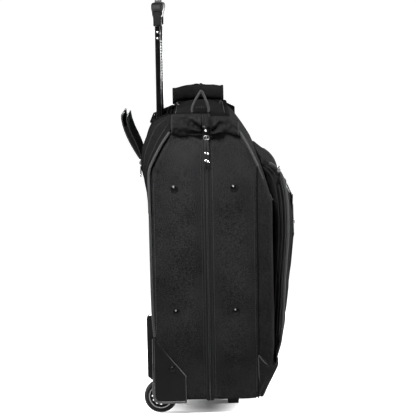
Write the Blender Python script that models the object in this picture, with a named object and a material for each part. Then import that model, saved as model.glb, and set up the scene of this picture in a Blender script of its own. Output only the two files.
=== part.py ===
"""Rolling folding garment case: a soft upright case of two half shells on a retractable trolley.

The back half carries the wheels and the handle, the front half carries the pockets and the
feet. A zip runs round both sides and the bottom, and the halves fold open about the top spine.
Sizes below are in millimetres: X is the width, the front faces -Y, +Z is up, the floor is Z 0.
"""
import math

import bmesh
import bpy
from mathutils import Vector

MM = 0.001

# Driving dimensions.
ORIGIN_Y = 11.4           # from the zip-side datum to the middle of the case's depth
GAP = 0.3                 # between pieces that touch on the real case
HALF_WIDTH = 280.0
WALL = 4.0                # padded fabric wall of a half shell
ZIP_Y = -5.0              # plane where the two half shells meet
SHELL_BOTTOM = 26.0
SHELL_TOP = 552.0
SPINE_TOP = 557.0
SPINE_BACK = 53.0
SPINE_FRONT = -42.0
BACK_FACE = 98.0
FRONT_FACE = -125.0
TUBE_X = 125.0            # trolley tubes, either side of the middle
TUBE_Y = 83.0
OUTER_TUBE = (26.0, 18.0)     # width along X, depth along Y
MID_TUBE = (22.0, 14.0)
INNER_TUBE = (18.0, 10.0)
TUBE_WALL = 1.3
TUBE_BOTTOM = 60.0
OUTER_TUBE_TOP = 488.0
MID_TUBE_SPAN = (75.0, 475.0)
INNER_TUBE_SPAN = (296.0, 715.7)
GRIP_BOTTOM = 716.0
GRIP_TOP = 761.0
GRIP_HALF_WIDTH = 140.0
GRIP_DEPTH = 23.0
BUTTON_TOP = 766.0
RECESS_FLOOR = 495.0
WHEEL_X = 252.0
WHEEL_Y = 87.0
WHEEL_RADIUS = 31.0
WHEEL_HALF_WIDTH = 10.0
AXLE_RADIUS = 3.7
RIVET_Z = (190.0, 419.0)
STAY_Y = 55.0
FOOT_X = 150.0
POCKET_HALF_WIDTH = 250.0
SIDES = (("left", -1.0), ("right", 1.0))

BACK_SHOULDER = [(100.0, 440.0), (98.0, 457.0), (90.0, 474.0), (76.0, 500.0), (60.0, 523.0)]
FRONT_SHOULDER = [(-125.0, 394.0), (-104.0, 465.0), (-95.0, 486.0), (-79.0, 511.0), (-61.0, 536.0)]


def remove_all_objects():
    for obj in list(bpy.data.objects):
        bpy.data.objects.remove(obj, do_unlink=True)


def make_material(name, colour, roughness, metallic=0.0):
    mat = bpy.data.materials.new(name)
    mat.use_nodes = True
    shader = mat.node_tree.nodes["Principled BSDF"]
    shader.inputs["Base Color"].default_value = (*colour, 1.0)
    shader.inputs["Roughness"].default_value = roughness
    shader.inputs["Metallic"].default_value = metallic
    mat.diffuse_color = (*colour, 1.0)
    return mat


def make_materials():
    """One function call per real material of the case."""
    return {
        "shell_fabric": make_material("shell_fabric", (0.045, 0.046, 0.048), 0.85),
        "pocket_fabric": make_material("pocket_fabric", (0.03, 0.031, 0.033), 0.85),
        "trim_fabric": make_material("trim_fabric", (0.055, 0.056, 0.06), 0.6),
        "webbing": make_material("webbing", (0.04, 0.04, 0.042), 0.75),
        "zip_black": make_material("zip_black", (0.025, 0.025, 0.027), 0.5),
        "plastic": make_material("plastic", (0.03, 0.03, 0.032), 0.45),
        "tube": make_material("tube", (0.08, 0.082, 0.086), 0.35, 0.9),
        "steel": make_material("steel", (0.7, 0.7, 0.72), 0.25, 1.0),
        "rubber": make_material("rubber", (0.03, 0.03, 0.03), 0.7),
    }


# ---- mesh helpers, all in millimetres ----

def finish_mesh(bm, name):
    bmesh.ops.recalc_face_normals(bm, faces=bm.faces)
    mesh = bpy.data.meshes.new(name)
    bm.to_mesh(mesh)
    bm.free()
    return mesh


def add_object(name, bm, mat, origin=(0.0, 0.0, 0.0), smooth=False):
    """Turn a bmesh in millimetres into an object in metres with its origin on a joint axis."""
    shift = Vector(origin)
    for vert in bm.verts:
        vert.co = (vert.co - shift) * MM
    mesh = finish_mesh(bm, name)
    mesh.materials.append(mat)
    if smooth:
        mesh.shade_smooth()
        mesh.set_sharp_from_angle(angle=math.radians(35.0))
    obj = bpy.data.objects.new(name, mesh)
    bpy.context.scene.collection.objects.link(obj)
    obj.location = (shift.x * MM, (shift.y + ORIGIN_Y) * MM, shift.z * MM)
    return obj


def cut_away(obj, cutter_bm):
    """Boolean difference with a hidden cutter."""
    cutter = add_object(obj.name + "_cutter", cutter_bm, obj.data.materials[0])
    cutter.hide_render = True
    cutter.display_type = "WIRE"
    boolean = obj.modifiers.new("cut", "BOOLEAN")
    boolean.operation = "DIFFERENCE"
    boolean.solver = "EXACT"
    boolean.object = cutter


def join_on(obj, tool_bm):
    """Boolean union with a hidden tool, which leaves one body."""
    tool = add_object(obj.name + "_tool", tool_bm, obj.data.materials[0])
    tool.hide_render = True
    tool.display_type = "WIRE"
    boolean = obj.modifiers.new("join", "BOOLEAN")
    boolean.operation = "UNION"
    boolean.solver = "EXACT"
    boolean.object = tool


def loft(sections):
    """Closed body through outlines of equal length, given as lists of 3-D points."""
    bm = bmesh.new()
    rings = [[bm.verts.new(point) for point in section] for section in sections]
    bm.faces.new(rings[0])
    bm.faces.new(list(reversed(rings[-1])))
    count = len(rings[0])
    for ring, following in zip(rings, rings[1:]):
        for i in range(count):
            j = (i + 1) % count
            bm.faces.new((ring[j], ring[i], following[i], following[j]))
    bmesh.ops.recalc_face_normals(bm, faces=bm.faces)
    return bm


def prism_x(outline, x0, x1):
    """An outline of (y, z) points pulled along X."""
    return loft([[(x, y, z) for y, z in outline] for x in (x0, x1)])


def prism_y(outline, y0, y1):
    """An outline of (x, z) points pulled along Y."""
    return loft([[(x, y, z) for x, z in outline] for y in (y0, y1)])


def ring_prism(outer, inner, place):
    """A closed band between two outlines of equal length; place(point, side) gives 3-D points."""
    bm = bmesh.new()
    loops = [[bm.verts.new(place(point, side)) for point in outline]
             for outline, side in ((outer, 0), (outer, 1), (inner, 1), (inner, 0))]
    count = len(outer)
    for loop, following in zip(loops, loops[1:] + loops[:1]):
        for i in range(count):
            j = (i + 1) % count
            bm.faces.new((loop[i], loop[j], following[j], following[i]))
    bmesh.ops.recalc_face_normals(bm, faces=bm.faces)
    return bm


def block(low, high):
    return prism_x([(low[1], low[2]), (high[1], low[2]), (high[1], high[2]), (low[1], high[2])],
                   low[0], high[0])


def turned_x(profile, centre, segments=24):
    """A body turned about a line along X; the profile is (radius, x) points."""
    bm = bmesh.new()
    rings = []
    for radius, x in profile:
        if radius < 0.001:
            rings.append([bm.verts.new((centre[0] + x, centre[1], centre[2]))] * segments)
            continue
        ring = []
        for i in range(segments):
            turn = 2.0 * math.pi * i / segments
            ring.append(bm.verts.new((centre[0] + x, centre[1] + radius * math.cos(turn),
                                      centre[2] + radius * math.sin(turn))))
        rings.append(ring)
    for ring, following in zip(rings, rings[1:] + rings[:1]):
        for i in range(segments):
            j = (i + 1) % segments
            corners = list(dict.fromkeys((ring[i], ring[j], following[j], following[i])))
            if len(corners) > 2:
                bm.faces.new(corners)
    bmesh.ops.recalc_face_normals(bm, faces=bm.faces)
    return bm


def round_edges(bm, width, segments, wanted):
    """Bevel the edges for which wanted(a, b) is true of their end points."""
    edges = [edge for edge in bm.edges if wanted(edge.verts[0].co, edge.verts[1].co)]
    bmesh.ops.bevel(bm, geom=edges, offset=width, segments=segments, profile=0.5,
                    affect="EDGES", clamp_overlap=True)
    return bm


def inset_outline(outline, distance):
    """Move every side of a closed outline inwards by distance (outwards if negative)."""
    area = sum(a[0] * b[1] - b[0] * a[1] for a, b in zip(outline, outline[1:] + outline[:1]))
    turn = 1.0 if area > 0.0 else -1.0
    moved = []
    for before, here, after in zip(outline[-1:] + outline[:-1], outline, outline[1:] + outline[:1]):
        first = Vector((here[0] - before[0], here[1] - before[1])).normalized()
        second = Vector((after[0] - here[0], after[1] - here[1])).normalized()
        normal_1 = Vector((-first.y, first.x)) * turn
        normal_2 = Vector((-second.y, second.x)) * turn
        bisector = (normal_1 + normal_2).normalized()
        reach = distance / max(bisector.dot(normal_1), 0.2)
        moved.append((here[0] + bisector.x * reach, here[1] + bisector.y * reach))
    return moved


def rounded_rectangle(half_a, half_b, radius, steps=3, centre=(0.0, 0.0)):
    """Outline of a rectangle with arc corners, counter-clockwise."""
    points = []
    for quarter in range(4):
        sign_a = 1.0 if quarter in (0, 3) else -1.0
        sign_b = 1.0 if quarter in (0, 1) else -1.0
        for step in range(steps + 1):
            turn = math.pi / 2.0 * (quarter + step / steps)
            points.append((centre[0] + sign_a * (half_a - radius) + radius * math.cos(turn),
                           centre[1] + sign_b * (half_b - radius) + radius * math.sin(turn)))
    return points


# ---- the two half shells and what holds their shape ----

def back_outline(zip_y):
    return ([(zip_y, SHELL_BOTTOM), (90.0, SHELL_BOTTOM), (BACK_FACE, 34.0), (98.5, 200.0)]
            + BACK_SHOULDER + [(SPINE_BACK - 1.0, SHELL_TOP), (zip_y, SHELL_TOP)])


def front_outline(zip_y):
    return ([(zip_y, SHELL_BOTTOM), (-90.0, SHELL_BOTTOM), (-97.0, 32.0), (-110.0, 60.0),
             (-121.0, 90.0), (FRONT_FACE, 120.0)]
            + FRONT_SHOULDER + [(-44.0, SHELL_TOP), (zip_y, SHELL_TOP)])


def half_shell(name, outline_at, zip_y, away, corner, steps, mat):
    """A tub of one half, open at the zip plane; away is +1 for the back half."""
    def is_corner(limit):
        def wanted(a, b):
            on_side = abs(abs(a.x) - limit) < 0.01 and abs(a.x - b.x) < 0.01
            off_zip = min(away * (a.y - zip_y), away * (b.y - zip_y)) > 60.0
            return on_side and off_zip and min(a.z, b.z) > SHELL_BOTTOM - 1.0
        return wanted

    body = prism_x(outline_at(zip_y), -HALF_WIDTH, HALF_WIDTH)
    round_edges(body, corner, steps, is_corner(HALF_WIDTH))
    shell = add_object(name, body, mat, smooth=True)
    inner = HALF_WIDTH - WALL
    cavity = prism_x(inset_outline(outline_at(zip_y - away * 2.0 * WALL), WALL), -inner, inner)
    round_edges(cavity, corner - WALL, steps, is_corner(inner))
    cut_away(shell, cavity)
    for _, side in SIDES:
        for height in RIVET_Z:
            hole = turned_x([(0.0, -8.0), (3.4, -8.0), (3.4, 8.0), (0.0, 8.0)],
                            (side * (HALF_WIDTH - 2.0), away * STAY_Y, height), 12)
            cut_away(shell, hole)
    return shell


def make_shells(mats):
    back = half_shell("back_shell", back_outline, ZIP_Y + GAP, 1.0, 8.0, 2, mats["shell_fabric"])
    for _, side in SIDES:
        edges = sorted((side * 224.5, side * 290.0))
        cut_away(back, block((edges[0], 50.0, 20.0), (edges[1], 110.0, 67.0)))
    cut_away(back, block((-151.0, 67.0, 438.0), (151.0, 93.0, 535.0)))
    half_shell("front_shell", front_outline, ZIP_Y - GAP, -1.0, 28.0, 4, mats["shell_fabric"])


def make_spine(mats):
    """The top panel that the two halves fold about."""
    outline = [(SPINE_FRONT, SHELL_TOP + GAP), (SPINE_BACK, SHELL_TOP + GAP),
               (SPINE_BACK, SPINE_TOP - 1.5), (SPINE_BACK - 2.0, SPINE_TOP),
               (SPINE_FRONT + 2.0, SPINE_TOP), (SPINE_FRONT, SPINE_TOP - 1.5)]
    add_object("fold_spine", prism_x(outline, -272.0, 272.0), mats["trim_fabric"])


def make_frame(mats):
    """Riveted stays inside each side wall, and a wire hoop round each half's mouth."""
    for half, away in (("back", 1.0), ("front", -1.0)):
        for side_name, side in SIDES:
            face = side * (HALF_WIDTH - WALL - 0.3)
            xs = sorted((face, face - side * 2.0))
            low, high = RIVET_Z[0] - 30.0, RIVET_Z[1] + 30.0
            strip = block((xs[0], away * STAY_Y - 9.0, low), (xs[1], away * STAY_Y + 9.0, high))
            name = f"frame_stay_{half}_{side_name}"
            stay = add_object(name, strip, mats["steel"], smooth=True)
            for height in RIVET_Z:
                join_on(stay, make_rivet(side, away * STAY_Y, height, face - side))
        mouth = ZIP_Y + away * (GAP + 4.0)
        wide = hoop_outline()
        narrow = inset_outline(wide, 5.0)
        hoop = ring_prism(wide, narrow,
                          lambda point, end, y=mouth, a=away: (point[0], y + a * 5.0 * end, point[1]))
        add_object(f"frame_hoop_{half}", hoop, mats["steel"])


def hoop_outline():
    middle = (SHELL_BOTTOM + SHELL_TOP) / 2.0
    half_height = (SHELL_TOP - SHELL_BOTTOM) / 2.0 - WALL - 0.5
    return rounded_rectangle(HALF_WIDTH - WALL - 0.5, half_height, 12.0, 2, (0.0, middle))


def make_rivet(side, y, z, start):
    """A shank through the wall with a domed head outside, turned about X."""
    wall = side * HALF_WIDTH
    profile = [(0.0, start), (2.9, start), (2.9, wall + side * 0.3), (6.3, wall + side * 0.3),
               (6.3, wall + side * 1.0), (4.6, wall + side * 2.2), (2.4, wall + side * 2.8),
               (0.0, wall + side * 3.0)]
    return turned_x(profile, (0.0, y, z), 12)


# ---- top of the case ----

def make_gussets(mats):
    """Gathered fabric over the side walls where the case folds, split at the zip."""
    halves = (("back", [(3.0, 508.0), (30.0, 511.0), (58.0, 509.0), (57.0, 540.0), (52.0, 556.0),
                        (3.0, 556.0)]),
              ("front", [(-13.2, 508.0), (-40.0, 511.0), (-64.0, 516.0), (-62.0, 534.0),
                         (-46.0, 551.0), (-13.2, 551.0)]))
    for half, outline in halves:
        for side_name, side in SIDES:
            xs = sorted((side * (HALF_WIDTH + GAP), side * (HALF_WIDTH + 6.0)))
            body = prism_x(outline, xs[0], xs[1])
            add_object(f"fold_gusset_{half}_{side_name}", body, mats["trim_fabric"])


def ribbon(path, thickness, x0, x1):
    """A closed strap of even thickness along an open (y, z) path, pulled along X."""
    offsets = []
    for i, here in enumerate(path):
        before = path[max(i - 1, 0)]
        after = path[min(i + 1, len(path) - 1)]
        along = Vector((after[0] - before[0], after[1] - before[1])).normalized()
        offsets.append((here[0] - along.y * thickness, here[1] + along.x * thickness))
    return prism_x(list(path) + offsets[::-1], x0, x1)


def make_carry_handle(mats):
    """A webbing strap over the spine with a soft wrap round its middle."""
    path = [(47.0, SPINE_TOP + 3.0), (53.0, 566.0), (54.5, 577.0), (50.0, 584.0), (30.0, 585.5),
            (9.0, 586.0), (-12.0, 585.5), (-32.0, 584.0), (-36.5, 577.0), (-35.0, 566.0),
            (-30.0, SPINE_TOP + 3.0)]
    strap = add_object("carry_strap", ribbon(path, 2.4, -19.0, 19.0), mats["webbing"])
    for low, high in ((38.0, 50.0), (-34.0, -22.0)):
        join_on(strap, block((-22.0, low, SPINE_TOP + GAP), (22.0, high, SPINE_TOP + 3.4)))
    outer = rounded_rectangle(26.0, 12.0, 7.0, 3, (0.0, 586.0))
    inner = rounded_rectangle(20.5, 5.5, 3.0, 3, (0.0, 584.5))
    wrap = ring_prism(outer, inner,
                      lambda point, end: (point[0], 44.0 - 72.0 * end, point[1]))
    add_object("handle_wrap", wrap, mats["pocket_fabric"], smooth=True)


def make_side_loops(mats):
    """A teardrop loop of webbing that stands on the spine above each end of the zip."""
    outer = [(-7.0, 557.5), (20.0, 557.5), (20.5, 566.0), (16.0, 578.0), (8.0, 590.0),
             (4.5, 597.0), (1.0, 597.5), (-2.0, 591.0), (-8.0, 577.0), (-11.5, 564.0)]
    inner = inset_outline(outer, 2.6)
    for side_name, side in SIDES:
        xs = (side * 254.0, side * 271.0)
        body = ring_prism(outer, inner, lambda point, end, xs=xs: (xs[end], point[0], point[1]))
        add_object(f"side_loop_{side_name}", body, mats["webbing"])


def make_hanger_clamp(mats):
    """The clamp under the spine that grips the hangers, and its sprung lever."""
    base = add_object("hanger_clamp", block((-34.0, 12.0, 520.0), (34.0, 44.0, 547.6)), mats["plastic"])
    cut_away(base, block((-40.0, 18.0, 526.0), (40.0, 38.0, 541.0)))
    cut_away(base, block((-26.0, 0.0, 526.0), (26.0, 30.0, 541.0)))
    lever = [(6.0, 529.0), (11.0, 527.0), (16.5, 527.0), (16.5, 540.0), (11.0, 540.0)]
    add_object("hanger_clamp_lever", prism_x(lever, -24.5, 24.5), mats["plastic"], (0.0, 13.0, 538.0))


# ---- zips ----

def make_zip_tapes(mats):
    """Each half's zip tape, from the top of one side under the case to the other."""
    spans = (("back", ZIP_Y + GAP, 2.0), ("front", ZIP_Y - GAP, -12.0))
    inner = [(-HALF_WIDTH - GAP, 556.0), (-HALF_WIDTH - GAP, SHELL_BOTTOM - GAP),
             (HALF_WIDTH + GAP, SHELL_BOTTOM - GAP), (HALF_WIDTH + GAP, 556.0)]
    thick = 1.7
    outer = [(HALF_WIDTH + GAP + thick, 556.0), (HALF_WIDTH + GAP + thick, SHELL_BOTTOM - thick),
             (-HALF_WIDTH - GAP - thick, SHELL_BOTTOM - thick), (-HALF_WIDTH - GAP - thick, 556.0)]
    for half, y0, y1 in spans:
        tape = prism_y(inner + outer, y0, y1)
        add_object(f"zip_tape_{half}", tape, mats["zip_black"])


def side_box(side, depth_low, depth_high, y0, y1, z0, z1):
    """A block outside one side wall, by its distances out from the wall."""
    xs = sorted((side * (HALF_WIDTH + depth_low), side * (HALF_WIDTH + depth_high)))
    return block((xs[0], y0, z0), (xs[1], y1, z1))


def make_side_sliders(mats):
    """One slider a side that runs down the zip, with two pull tabs hung on its bridge."""
    for side_name, side in SIDES:
        body = side_box(side, 2.4, 5.6, -12.2, 2.2, 519.0, 534.0)
        slider = add_object(f"side_slider_{side_name}", body, mats["steel"], (0.0, ZIP_Y, 529.0))
        join_on(slider, side_box(side, 5.0, 8.0, -8.0, -2.0, 529.5, 533.0))
        for which, y0, y1, length in (("front", -12.2, -5.6, 66.0), ("back", -4.4, 2.2, 58.0)):
            top = 518.0
            pull = side_box(side, 3.2, 5.8, y0, y1, top - length, top)
            pull_name = f"side_pull_{which}_{side_name}"
            out = side * (HALF_WIDTH + 4.5)
            add_object(pull_name, pull, mats["steel"], (out, (y0 + y1) / 2.0, top - 1.5))


def make_small_zips(mats):
    """The zips of the handle cover and of the pockets: a parked slider and a hanging pull."""
    edge = POCKET_HALF_WIDTH
    spots = (
        ("cover", (-134.5, 119.5, 460.0), (3.5, 2.2, 7.0)),
        ("pocket", (-edge - 2.2, -133.0, 444.0), (1.8, 3.5, 7.0)),
        ("small_pocket", (-146.0, -173.0, 352.0), (3.5, 1.8, 7.0)),
    )
    for name, centre, half in spots:
        low = [centre[i] - half[i] for i in range(3)]
        high = [centre[i] + half[i] for i in range(3)]
        if name != "small_pocket":
            add_object(f"{name}_slider", block(low, high), mats["steel"])
        tab_low = [centre[i] - half[i] * 0.75 for i in range(3)]
        tab_high = [centre[i] + half[i] * 0.75 for i in range(3)]
        tab_high[2] = low[2] - 1.2
        tab_low[2] = tab_high[2] - 20.0
        pivot = (centre[0], centre[1], tab_high[2] - 1.0)
        add_object(f"{name}_pull", block(tab_low, tab_high), mats["steel"], pivot)


# ---- trolley ----

def box_tube(name, size, span, side, mat, origin=(0.0, 0.0, 0.0)):
    """A hollow rectangular tube along Z, open at both ends."""
    centre = (side * TUBE_X, TUBE_Y)
    outer = rounded_rectangle(size[0] / 2.0, size[1] / 2.0, 3.0, 2, centre)
    inner = rounded_rectangle(size[0] / 2.0 - TUBE_WALL, size[1] / 2.0 - TUBE_WALL, 1.7, 2, centre)
    body = ring_prism(outer, inner, lambda point, end: (point[0], point[1], span[end]))
    return add_object(name, body, mat, origin, smooth=True)


def make_trolley(mats):
    for side_name, side in SIDES:
        box_tube(f"outer_tube_{side_name}", OUTER_TUBE, (TUBE_BOTTOM, OUTER_TUBE_TOP), side,
                 mats["tube"])
        box_tube(f"mid_tube_{side_name}", MID_TUBE, MID_TUBE_SPAN, side, mats["tube"],
                 (0.0, TUBE_Y, MID_TUBE_SPAN[0]))
        box_tube(f"inner_tube_{side_name}", INNER_TUBE, INNER_TUBE_SPAN, side, mats["tube"],
                 (0.0, TUBE_Y, INNER_TUBE_SPAN[0]))
    bracket = block((-142.0, 73.0, 40.0), (142.0, 93.0, TUBE_BOTTOM - GAP))
    add_object("tube_bottom_bracket", bracket, mats["plastic"])
    make_grip(mats)


def make_grip(mats):
    """The bar across the two inner tubes, with its release button sunk in the top."""
    w = GRIP_HALF_WIDTH
    outline = [(-w, GRIP_BOTTOM), (-108.0, GRIP_BOTTOM), (-105.0, 727.0), (-98.0, 733.0),
               (98.0, 733.0), (105.0, 727.0), (108.0, GRIP_BOTTOM), (w, GRIP_BOTTOM),
               (w, 750.0), (w - 3.5, 757.5), (w - 11.0, GRIP_TOP),
               (11.0 - w, GRIP_TOP), (3.5 - w, 757.5), (-w, 750.0)]
    half = GRIP_DEPTH / 2.0
    body = prism_y(outline, TUBE_Y - half, TUBE_Y + half)
    round_edges(body, 5.0, 2, lambda a, b: abs(a.y - b.y) < 0.01 and min(a.z, b.z) > 749.0)
    grip = add_object("handle_grip", body, mats["plastic"], (0.0, TUBE_Y, GRIP_BOTTOM), smooth=True)
    cut_away(grip, block((-23.2, TUBE_Y - 7.2, 755.0), (23.2, TUBE_Y + 7.2, 780.0)))
    button = block((-22.5, TUBE_Y - 6.5, 758.5), (22.5, TUBE_Y + 6.5, BUTTON_TOP))
    round_edges(button, 1.5, 2, lambda a, b: min(a.z, b.z) > BUTTON_TOP - 0.1)
    add_object("release_button", button, mats["plastic"], (0.0, TUBE_Y, 758.5), smooth=True)


def make_handle_recess(mats):
    """The padded surround on the back shoulder that the grip drops into."""
    clear = inset_outline(back_outline(ZIP_Y), -0.5)
    seat = clear[4:9]
    outline = ([(103.0, 385.0), (108.0, 420.0), (113.0, 440.0), (116.0, 455.0), (113.0, 488.0),
                (107.0, 501.0), (104.0, 513.0), (98.0, 529.0), (90.0, 538.0), (76.0, 541.0),
                (60.0, 549.0), (56.5, 541.0)] + seat[::-1] + [(100.8, 380.0)])
    recess = add_object("handle_recess", prism_x(outline, -168.0, 168.0), mats["trim_fabric"],
                        smooth=True)
    cut_away(recess, block((-146.0, TUBE_Y - 14.0, RECESS_FLOOR), (146.0, TUBE_Y + 13.5, 580.0)))
    for _, side in SIDES:
        half_x = MID_TUBE[0] / 2.0 + 0.6
        half_y = MID_TUBE[1] / 2.0 + 0.6
        hole = block((side * TUBE_X - half_x, TUBE_Y - half_y, OUTER_TUBE_TOP + 1.0),
                     (side * TUBE_X + half_x, TUBE_Y + half_y, 520.0))
        cut_away(recess, hole)
        socket_x = OUTER_TUBE[0] / 2.0 + 0.6
        socket_y = OUTER_TUBE[1] / 2.0 + 0.6
        socket = block((side * TUBE_X - socket_x, TUBE_Y - socket_y, 440.0),
                       (side * TUBE_X + socket_x, TUBE_Y + socket_y, OUTER_TUBE_TOP + 1.0))
        cut_away(recess, socket)


def make_cover_flap(mats):
    """The curved flap that closes over the stowed handle, standing open."""
    outer = [(117.2, 462.0), (123.0, 470.0), (134.0, 490.0), (143.5, 513.0), (149.5, 537.0),
             (151.5, 558.0)]
    inner = [(141.5, 559.0), (139.0, 540.0), (133.0, 518.0), (125.0, 497.0), (118.2, 477.0)]
    body = prism_x(outer + inner, -130.0, 130.0)
    add_object("handle_cover_flap", body, mats["shell_fabric"], (0.0, 116.8, 461.0), smooth=True)


# ---- wheels, corner guards, feet ----

def make_wheels(mats):
    for side_name, side in SIDES:
        centre = (side * WHEEL_X, WHEEL_Y, WHEEL_RADIUS)
        make_wheel_housing(side_name, side, mats)
        axle = turned_x([(0.0, -22.6), (AXLE_RADIUS, -22.6), (AXLE_RADIUS, 26.6), (0.0, 26.6)]
                        if side > 0 else
                        [(0.0, -26.6), (AXLE_RADIUS, -26.6), (AXLE_RADIUS, 22.6), (0.0, 22.6)],
                        centre, 16)
        add_object(f"wheel_axle_{side_name}", axle, mats["steel"], centre, smooth=True)
        make_hub(side_name, centre, mats)
        w = WHEEL_HALF_WIDTH
        r = WHEEL_RADIUS
        tyre = turned_x([(22.4, -w + 1.5), (25.0, -w), (r - 2.5, -w + 1.5), (r, -w + 5.5), (r, w - 5.5),
                         (r - 2.5, w - 1.5), (25.0, w), (22.4, w - 1.5)], centre, 32)
        add_object(f"wheel_tyre_{side_name}", tyre, mats["rubber"], centre, smooth=True)


def make_hub(side_name, centre, mats):
    """A hub disc with a ring of open windows round its boss."""
    profile = [(4.1, -5.5), (11.5, -5.5), (13.0, -3.0), (20.0, -3.0), (22.0, -6.0), (22.0, 6.0),
               (20.0, 3.0), (13.0, 3.0), (11.5, 5.5), (4.1, 5.5)]
    hub = add_object(f"wheel_hub_{side_name}", turned_x(profile, centre, 32), mats["plastic"],
                     centre, smooth=True)
    windows = 8
    for i in range(windows):
        turn = 2.0 * math.pi * (i + 0.5) / windows
        spot = (centre[0], centre[1] + 16.5 * math.cos(turn), centre[2] + 16.5 * math.sin(turn))
        cut_away(hub, turned_x([(0.0, -8.0), (2.4, -8.0), (2.4, 8.0), (0.0, 8.0)], spot, 6))


def make_wheel_housing(side_name, side, mats):
    """A corner guard outside the side wall, in one piece with the box that holds the wheel."""
    guard = [(38.5, 22.0), (93.0, 22.0), (98.0, 27.0), (100.5, 60.0), (100.5, 144.0), (97.0, 144.0),
             (39.6, 70.5)]
    xs = sorted((side * (HALF_WIDTH + GAP), side * (HALF_WIDTH + 3.3)))
    housing = add_object(f"wheel_housing_{side_name}", prism_x(guard, xs[0], xs[1]), mats["plastic"])
    xs = sorted((side * 225.0, side * (HALF_WIDTH + 2.0)))
    join_on(housing, block((xs[0], 50.5, 26.0), (xs[1], 100.5, 66.5)))
    xs = sorted((side * 229.0, side * (HALF_WIDTH - 0.6)))
    cut_away(housing, block((xs[0], 53.5, 10.0), (xs[1], 120.0, 63.5)))
    screw = turned_x([(0.0, side * 2.5), (6.0, side * 2.5), (6.0, side * 3.4), (4.0, side * 4.8),
                      (0.0, side * 5.4)], (side * (HALF_WIDTH + 1.0), 64.0, 85.0), 16)
    add_object(f"guard_screw_{side_name}", screw, mats["steel"], smooth=True)
    rail = [(99.5, 72.0), (101.2, 63.0), (109.0, 70.0), (109.5, 178.0), (107.0, 183.0),
            (102.0, 184.0), (99.5, 181.0)]
    rail = [(y + 1.4, z) for y, z in rail]
    xs = sorted((side * 244.0, side * 270.0))
    add_object(f"skid_rail_{side_name}", prism_x(rail, xs[0], xs[1]), mats["plastic"])


def make_feet(mats):
    for side_name, side in SIDES:
        top = SHELL_BOTTOM - 2.0
        low = [(-61.0, top), (-58.5, 0.0), (-38.5, 0.0), (-36.0, top)]
        body = prism_x(low, side * FOOT_X - 20.0, side * FOOT_X + 20.0)
        add_object(f"foot_{side_name}", body, mats["rubber"])


# ---- pockets of the front half ----

POCKET_EDGE = [(-139.0, 450.0), (-149.0, 428.0), (-155.0, 385.0), (-155.0, 315.0), (-152.0, 230.0),
               (-145.5, 160.0), (-130.5, 101.5)]
POCKET_BULGE = [5.0, 7.0, 9.5, 10.5, 10.0, 7.0, 1.0]


def pocket_front(x, stand_off=0.0):
    """Front line of the pocket at one place across the case: it bulges towards the middle."""
    swell = math.sqrt(max(0.0, 1.0 - (x / POCKET_HALF_WIDTH) ** 2))
    return [(y - bulge * swell - stand_off, z) for (y, z), bulge in zip(POCKET_EDGE, POCKET_BULGE)]


def make_pockets(mats):
    back = [(-123.6, 106.0), (-125.4, 120.0), (-125.4, 394.0), (-104.6, 465.5), (-99.5, 477.5),
            (-101.0, 482.0), (-124.0, 463.5)]
    stations = [-250.0, -243.0, -215.0, -150.0, -75.0, 0.0, 75.0, 150.0, 215.0, 243.0, 250.0]
    sections = [[(x, y, z) for y, z in back + pocket_front(x)] for x in stations]
    add_object("front_pocket", loft(sections), mats["pocket_fabric"], smooth=True)
    stations = [-172.0, -110.0, -40.0, 40.0, 110.0, 172.0]
    sections = []
    for x in stations:
        near = pocket_front(x, 0.9)[2:6]
        far = pocket_front(x, 7.0)[2:6]
        sections.append([(x, y, z) for y, z in near + far[::-1]])
    add_object("small_front_pocket", loft(sections), mats["pocket_fabric"], smooth=True)
    pouch = [(-98.2, 31.5), (-111.0, 60.0), (-122.0, 90.0), (-123.4, 98.5), (-128.6, 97.5),
             (-130.5, 86.0), (-123.5, 62.0), (-111.5, 42.0), (-103.5, 31.0)]
    sections = []
    for x, shrink in ((-262.0, 4.0), (-250.0, 0.0), (250.0, 0.0), (262.0, 4.0)):
        line = [(y if i < 4 else y + shrink, z) for i, (y, z) in enumerate(pouch)]
        sections.append([(x, y, z) for y, z in line])
    add_object("lower_pouch", loft(sections), mats["trim_fabric"], smooth=True)


def main():
    remove_all_objects()
    mats = make_materials()
    make_shells(mats)
    make_spine(mats)
    make_frame(mats)
    make_gussets(mats)
    make_carry_handle(mats)
    make_side_loops(mats)
    make_hanger_clamp(mats)
    make_zip_tapes(mats)
    make_side_sliders(mats)
    make_small_zips(mats)
    make_trolley(mats)
    make_handle_recess(mats)
    make_cover_flap(mats)
    make_wheels(mats)
    make_feet(mats)
    make_pockets(mats)


main()
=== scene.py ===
"""Looks of the rolling folding garment case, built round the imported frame."""

import math

import bmesh
import bpy
from mathutils import Matrix, Vector, noise


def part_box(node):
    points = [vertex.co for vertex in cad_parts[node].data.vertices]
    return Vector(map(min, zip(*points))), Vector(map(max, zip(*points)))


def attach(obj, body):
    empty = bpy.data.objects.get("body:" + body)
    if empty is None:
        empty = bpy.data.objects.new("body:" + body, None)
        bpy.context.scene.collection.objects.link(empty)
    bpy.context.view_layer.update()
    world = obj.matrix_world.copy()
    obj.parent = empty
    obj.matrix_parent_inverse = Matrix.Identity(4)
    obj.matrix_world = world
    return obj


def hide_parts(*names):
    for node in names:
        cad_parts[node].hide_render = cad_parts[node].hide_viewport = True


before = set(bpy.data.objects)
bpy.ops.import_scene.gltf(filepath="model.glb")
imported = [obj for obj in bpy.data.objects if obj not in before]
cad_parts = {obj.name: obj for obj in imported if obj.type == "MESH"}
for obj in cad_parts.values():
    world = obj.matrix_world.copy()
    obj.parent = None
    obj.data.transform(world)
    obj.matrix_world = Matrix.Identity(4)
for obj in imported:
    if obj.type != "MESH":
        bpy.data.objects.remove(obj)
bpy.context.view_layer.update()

MM = 0.001
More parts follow.
